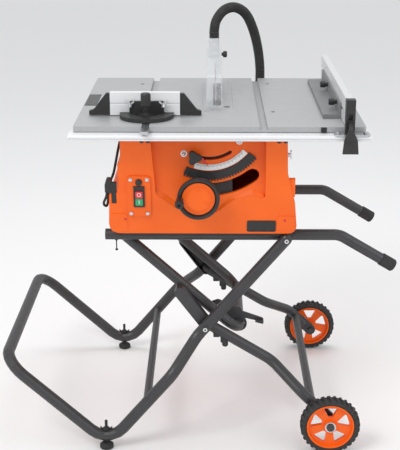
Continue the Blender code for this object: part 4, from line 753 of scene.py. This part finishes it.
def recess_ledge():
    """Sloping moulded ledge along the foot of the sunk field."""
    bm = bmesh.new()
    stations = []
    for x, z in RECESS_EDGE:
        front = face_frame(x, z, -0.0012) @ Vector((0, 0, 0))
        wall = at(x, RECESS_FACE + 0.0006, z - 0.004)
        rise = at(x * 0.985, RECESS_FACE + 0.0004, z + LEDGE_RISE)
        stations.append([bm.verts.new(v) for v in (front, rise, wall)])
    skin(bm, stations)
    bm.faces.new(stations[0])
    bm.faces.new(list(reversed(stations[-1])))
    piece("recess_ledge", bm, ORANGE, "base", False)


MARK_DEGREES = range(-16, 49)
MARK_FOOT = 0.1150
MARK_SHORT = 0.1195
MARK_LONG = 0.1235


def bevel_marks():
    """Degree lines on the scale band, longer at every fifth."""
    bm = bmesh.new()
    for k in MARK_DEGREES:
        outer = MARK_LONG if k % 5 == 0 else MARK_SHORT
        x, z = tilt_point((MARK_FOOT + outer) / 2, k)
        local = facing(at(x, RECESS_FACE - 0.0028, z), (0, -1, 0))
        local = local @ Matrix.Rotation(math.radians(k), 4, "Z")
        add_prism(bm, rectangle(0.00055, outer - MARK_FOOT), local, 0.0, 0.0002)
    piece("bevel_marks", bm, INK, "base", False)


def bevel_pointer():
    """Red pointer and its arm, which move with the lock stud."""
    bm = bmesh.new()
    outline = [
        tilt_point(0.092, STUD_AT),
        tilt_point(STUD_R, -8.0),
        tilt_point(0.118, 0.0),
        tilt_point(0.104, -10.0),
        tilt_point(0.104, STUD_AT),
    ]
    local = facing(at(0.0, RECESS_FACE - 0.0050, 0.0), (0, -1, 0))
    add_prism(bm, outline, local, -0.0015, 0.0)
    piece("bevel_pointer", bm, RED, "carriage", False)


def acorn_bolts():
    """Domed nuts that hold the bevel rack."""
    bm = bmesh.new()
    for x, z in ((-0.091, 0.820), (0.052, 0.853)):
        local = facing(at(x, RECESS_FACE, z), (0, -1, 0))
        add_turned(bm, ((0.0085, 0.0), (0.0085, 0.0012), (0.0060, 0.0014)), local, 20)
        add_prism(bm, polygon(6, 0.0062), local, 0.0012, 0.0052)
        dome = ((0.0050, 0.0050), (0.0046, 0.0080), (0.0030, 0.0098), (0.0010, 0.0104))
        add_turned(bm, dome, local, 18)
    piece("acorn_nuts", bm, STEEL, "base")


def switch_marks():
    """A ring on the red button and a bar on the green one."""
    for name in ("button_off", "button_on"):
        low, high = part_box(name)
        middle = middle_of(low, high)
        middle.y = low[1]
        local = facing(middle + Vector((0, 0.0016, 0)), FACE_NORMAL)
        bm = bmesh.new()
        if name == "button_on":
            add_prism(bm, rectangle(0.0016, 0.0095), local, 0.0, 0.0003)
        else:
            add_ring(bm, local, 0.0038, 0.0052, 0.0, 0.0003)
        piece(f"{name}_mark", bm, WHITE, name, False)


def side_lugs():
    """Moulded lugs on the housing's right side, above the handle rail."""
    bm = bmesh.new()
    for y in (-0.262, 0.150):
        local = facing(at(0.1860, y, 0.7300), (1, 0, 0))
        add_prism(bm, rounded_rectangle(0.016, 0.050, 0.005), local, -0.008, 0.012)
    piece("side_lugs", bm, ORANGE, "base")


def corner_steps():
    """Raised moulded steps at the two lower corners of the front."""
    bm = bmesh.new()
    for x, z, width, height in ((-0.2620, 0.6320, 0.044, 0.052), (0.1760, 0.6320, 0.048, 0.040)):
        add_prism(bm, rounded_rectangle(width, height, 0.008), face_frame(x, z), -0.001, 0.0018)
    piece("corner_steps", bm, ORANGE, "base")


def switch_screws():
    """One screw in each corner of the switch plate."""
    bm = bmesh.new()
    local = face_frame(-0.2075, 0.7085)
    for x in (-0.0215, 0.0215):
        for y in (-0.0485, 0.0485):
            pan_head(bm, local @ Vector((x, y, 0.0058)), FACE_NORMAL, 0.0050, 0.0022)
    piece("switch_screws", bm, STEEL, "base")


def side_bolt():
    """Wing bolt on the housing's right side."""
    bm = bmesh.new()
    local = facing(at(0.1765, -0.250, 0.814), (1, 0, 0))
    add_turned(bm, ((0.009, 0.0), (0.009, 0.002), (0.005, 0.003), (0.005, 0.010)), local, 18)
    wing = [(-0.004, -0.011), (0.004, -0.011), (0.006, 0.011), (-0.006, 0.011)]
    add_prism(bm, wing, local, 0.008, 0.012)
    piece("side_bolt", bm, STEEL, "base")


def small_holes():
    """Dark red discs on the front, painted as the shade inside small screw recesses."""
    bm = bmesh.new()
    for x, z in ((-0.2455, 0.6425), (0.1735, 0.6395)):
        add_turned(bm, ((0.0036, 0.0), (0.0036, 0.0020), (0.0030, 0.0021)), face_frame(x, z), 16)
    piece("front_recess_shade", bm, RECESS_SHADE_RED, "base")


table_label()
recess_ledge()
badge()
bevel_marks()
bevel_pointer()
acorn_bolts()
switch_marks()
switch_screws()
side_lugs()
corner_steps()
side_bolt()
small_holes()

# ---------------------------------------------------------------- stand details


LEG_PIVOTS = ((-0.035, 0.326, 0.2610), (0.180, 0.581, 0.2605))
SIDES = ((-1, "front"), (1, "back"))
QUARTER_TURN = Matrix.Rotation(math.pi / 2, 4, "X")


def pivot_nuts():
    """Nuts and washers on the outside of the stand's pivots."""
    for side, name in SIDES:
        washers = bmesh.new()
        nuts = bmesh.new()
        for x, z, y in LEG_PIVOTS:
            local = facing(at(x, side * y, z), (0, side, 0))
            add_turned(washers, ((0.0095, -0.001), (0.0095, 0.0012), (0.0070, 0.0014)), local, 20)
            add_ring(nuts, local, 0.0026, 0.0066, 0.0010, 0.0048, 6)
            add_turned(washers, ((0.0024, 0.0010), (0.0024, 0.0056), (0.0016, 0.0062)), local, 12)
        piece(f"leg_washers_{name}", washers, PAINT, "legs")
        piece(f"leg_nuts_{name}", nuts, STEEL, "legs")
        bm = bmesh.new()
        local = facing(at(-0.268, side * 0.2268, 0.583), (0, side, 0))
        add_turned(bm, ((0.0080, -0.001), (0.0080, 0.0016), (0.0050, 0.0030)), local, 18)
        piece(f"brace_bolt_{name}", bm, PAINT, "base")


def wing_nuts():
    """Wings on the levelling studs."""
    for _, name in SIDES:
        low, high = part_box(f"levelling_foot_{name}")
        middle = middle_of(low, high)
        middle.z = high[2] - 0.0335
        bm = bmesh.new()
        for sign in (-1, 1):
            wing = ((0.006, 0.0), (0.0165, 0.008), (0.0165, 0.015), (0.006, 0.007))
            outline = [(sign * x, y) for x, y in wing]
            local = Matrix.Translation(middle + Vector((0, 0.0012, 0))) @ QUARTER_TURN
            add_prism(bm, outline, local, 0.0, 0.0024)
        piece(f"wings_{name}", bm, BLACK, f"foot_{name}")


RIM_R = 0.0647
TREAD_DEPTH = 0.0038
TYRE_STEPS = 72
LUGS_ROUND = 30
LUG_HALF = 0.0046


def tyre(name, body):
    """Tyre with a grooved tread: staggered shoulder lugs on a slightly smaller carcass."""
    low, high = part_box(f"tyre_{name}")
    middle = middle_of(low, high)
    radius = (high[2] - low[2]) / 2
    half = (high[1] - low[1]) / 2
    floor = radius - TREAD_DEPTH
    spin = facing(middle, (0, 1, 0))
    profile = (
        (RIM_R, -half + 0.004),
        (RIM_R + 0.0025, -half + 0.0006),
        (radius - 0.0075, -half + 0.0008),
        (floor, -half + 0.0065),
        (floor, half - 0.0065),
        (radius - 0.0075, half - 0.0008),
        (RIM_R + 0.0025, half - 0.0006),
        (RIM_R, half - 0.004),
    )
    bm = bmesh.new()
    loops = []
    for r, h in profile:
        circle = polygon(TYRE_STEPS, r)
        loops.append([bm.verts.new(spin @ Vector((x, y, h))) for x, y in circle])
    skin(bm, loops + loops[:1])
    for k in range(LUGS_ROUND):
        for sign in (-1, 1):
            angle = 2 * math.pi * (k + (0.5 if sign > 0 else 0.0)) / LUGS_ROUND
            local = Matrix.Translation(middle) @ Matrix.Rotation(angle, 4, "Y")
            add_lug(bm, local, sign, radius, half)
    obj = piece(f"tyre_{name}_treaded", bm, TYRE, body)
    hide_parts(f"tyre_{name}")


def add_lug(bm, local, sign, radius, half):
    """One lug: a slanted bar on the crown that wraps down over the shoulder."""
    stations = (
        (0.0008, 0.0, 0.0),
        (half * 0.62, 0.0028, 0.0),
        (half - 0.0030, 0.0040, -0.0030),
        (half - 0.0001, 0.0042, -0.0085),
    )
    loops = []
    for y, skew, drop in stations:
        top = radius - 0.0002 + drop
        under = radius - 0.0060 + drop
        corners = (
            (skew - LUG_HALF, under),
            (skew + LUG_HALF, under),
            (skew + LUG_HALF * 0.8, top),
            (skew - LUG_HALF * 0.8, top),
        )
        loops.append([bm.verts.new(local @ Vector((x, sign * y, z))) for x, z in corners])
    skin(bm, loops)
    bm.faces.new(loops[0])
    bm.faces.new(list(reversed(loops[-1])))


def hub_rings():
    """Bright rings round the wheel hubs."""
    for side, name in SIDES:
        low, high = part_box(f"rim_{name}")
        bm = bmesh.new()
        local = facing(middle_of(low, high) + Vector((0, side * 0.0115, 0)), (0, side, 0))
        add_ring(bm, local, 0.0108, 0.0150, 0.002, 0.0060, 28)
        piece(f"hub_ring_{name}", bm, STEEL, f"wheel_{name}")


def stop_brackets():
    """Bumper blocks bolted under the wheel arms beside the main pivot."""
    for side, name in SIDES:
        bm = bmesh.new()
        y = side * 0.2120
        for x, z in ((-0.004, 0.2965), (0.016, 0.2800)):
            local = facing(at(x, y, z), (0, side, 0))
            add_prism(bm, rounded_rectangle(0.018, 0.020, 0.003), local, -0.012, 0.012)
        foot = facing(at(0.020, y, 0.272), (0, 0, -1))
        add_turned(bm, ((0.0085, 0.0), (0.0085, 0.014), (0.0060, 0.017)), foot, 16)
        piece(f"stop_bracket_{name}", bm, BLACK, "wheel_frame")


def hanging_pins():
    """Threaded pin below the left end of each rail."""
    for side, name in SIDES:
        bm = bmesh.new()
        local = facing(at(-0.275, side * 0.2120, 0.5690), (0, 0, -1))
        profile = (
            (0.0040, 0.0),
            (0.0040, 0.003),
            (0.0016, 0.0045),
            (0.0016, 0.026),
            (0.0042, 0.029),
            (0.0030, 0.032),
        )
        add_turned(bm, profile, local, 12)
        piece(f"hanging_pin_{name}", bm, SATIN_BLACK, "base")


def cover_marks():
    """Raised plus and minus on the handwheel's cover."""
    low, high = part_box("handwheel_cover")
    middle = middle_of(low, high)
    middle.y = low[1]
    local = facing(middle, (0, -1, 0))
    foot, top = -0.0004, 0.0005
    bars = (
        (0.0100, 0.0018, 0.0, 0.0240),
        (0.0018, 0.0040, 0.0, 0.0269),
        (0.0018, 0.0040, 0.0, 0.0211),
        (0.0100, 0.0018, 0.0200, -0.0100),
    )
    bm = bmesh.new()
    for bar in bars:
        add_prism(bm, rectangle(*bar), local, foot, top)
    add_ring(bm, local, 0.0345, 0.0360, foot, top, 40)
    piece("cover_marks", bm, ORANGE, "handwheel")


def gauge_wings():
    """Bright wing screws either side of the mitre knob."""
    low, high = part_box("gauge_knob")
    middle = middle_of(low, high)
    middle.z = 0.0
    bm = bmesh.new()
    for sign in (-1, 1):
        base = middle + Vector((sign * 0.043, 0.034, TABLE_TOP + 0.026))
        local = facing(base, (0, 0, 1))
        add_turned(bm, ((0.0050, 0.0), (0.0050, 0.004), (0.0032, 0.007), (0.0032, 0.012)), local, 14)
        upright = Matrix.Translation(base + Vector((0, 0.001, 0.006))) @ QUARTER_TURN
        for way in (-1, 1):
            wing = ((0.002, 0.0), (0.011, 0.006), (0.0105, 0.012), (0.002, 0.005))
            add_prism(bm, [(way * x, y) for x, y in wing], upright, 0.0, 0.0022)
    piece("gauge_wings", bm, STEEL, "mitre_head")


stop_brackets()
hanging_pins()
cover_marks()
gauge_wings()
pivot_nuts()
wing_nuts()
tyre("front", "wheel_front")
tyre("back", "wheel_back")
hub_rings()

# ---------------------------------------------------------------- floor, world and lights


FLOOR_WIDTH = 28.0
WORLD_STRENGTH = 0.76


def floor():
    """Plain pale floor."""
    bm = bmesh.new()
    bm.faces.new([bm.verts.new((x, y, 0)) for x, y in rectangle(FLOOR_WIDTH, FLOOR_WIDTH)])
    mesh = bpy.data.meshes.new("floor")
    bm.to_mesh(mesh)
    bm.free()
    obj = link("floor", mesh)
    made = Nodes("floor", (0.93, 0.93, 0.93), 0.75)
    made.colour_between(made.noise(2.0), (0.925, 0.925, 0.925), (0.935, 0.935, 0.935))
    obj.data.materials.append(made.material)


def area_light(name, place, target, size, power):
    """White rectangular light at a place, aimed at a target."""
    data = bpy.data.lights.new(name, "AREA")
    data.shape = "RECTANGLE"
    data.size = size
    data.size_y = size * 0.7
    data.energy = power
    obj = link(name, data)
    obj.location = place
    direction = Vector(target) - Vector(place)
    obj.rotation_euler = direction.to_track_quat("-Z", "Y").to_euler()


def world():
    """Even pale studio light."""
    made = bpy.data.worlds.new("studio")
    bpy.context.scene.world = made
    made.use_nodes = True
    back = made.node_tree.nodes["Background"]
    back.inputs["Color"].default_value = (0.98, 0.985, 1.0, 1.0)
    back.inputs["Strength"].default_value = WORLD_STRENGTH


floor()
world()
area_light("key", (-1.8, -2.2, 3.2), (0, 0, 0.6), 1.6, 50)
area_light("fill", (2.4, -1.8, 2.0), (0, 0, 0.6), 1.8, 14)
area_light("top", (0.2, 0.8, 3.4), (0, 0, 0.8), 2.0, 22)
bpy.context.scene.view_settings.view_transform = "Standard"
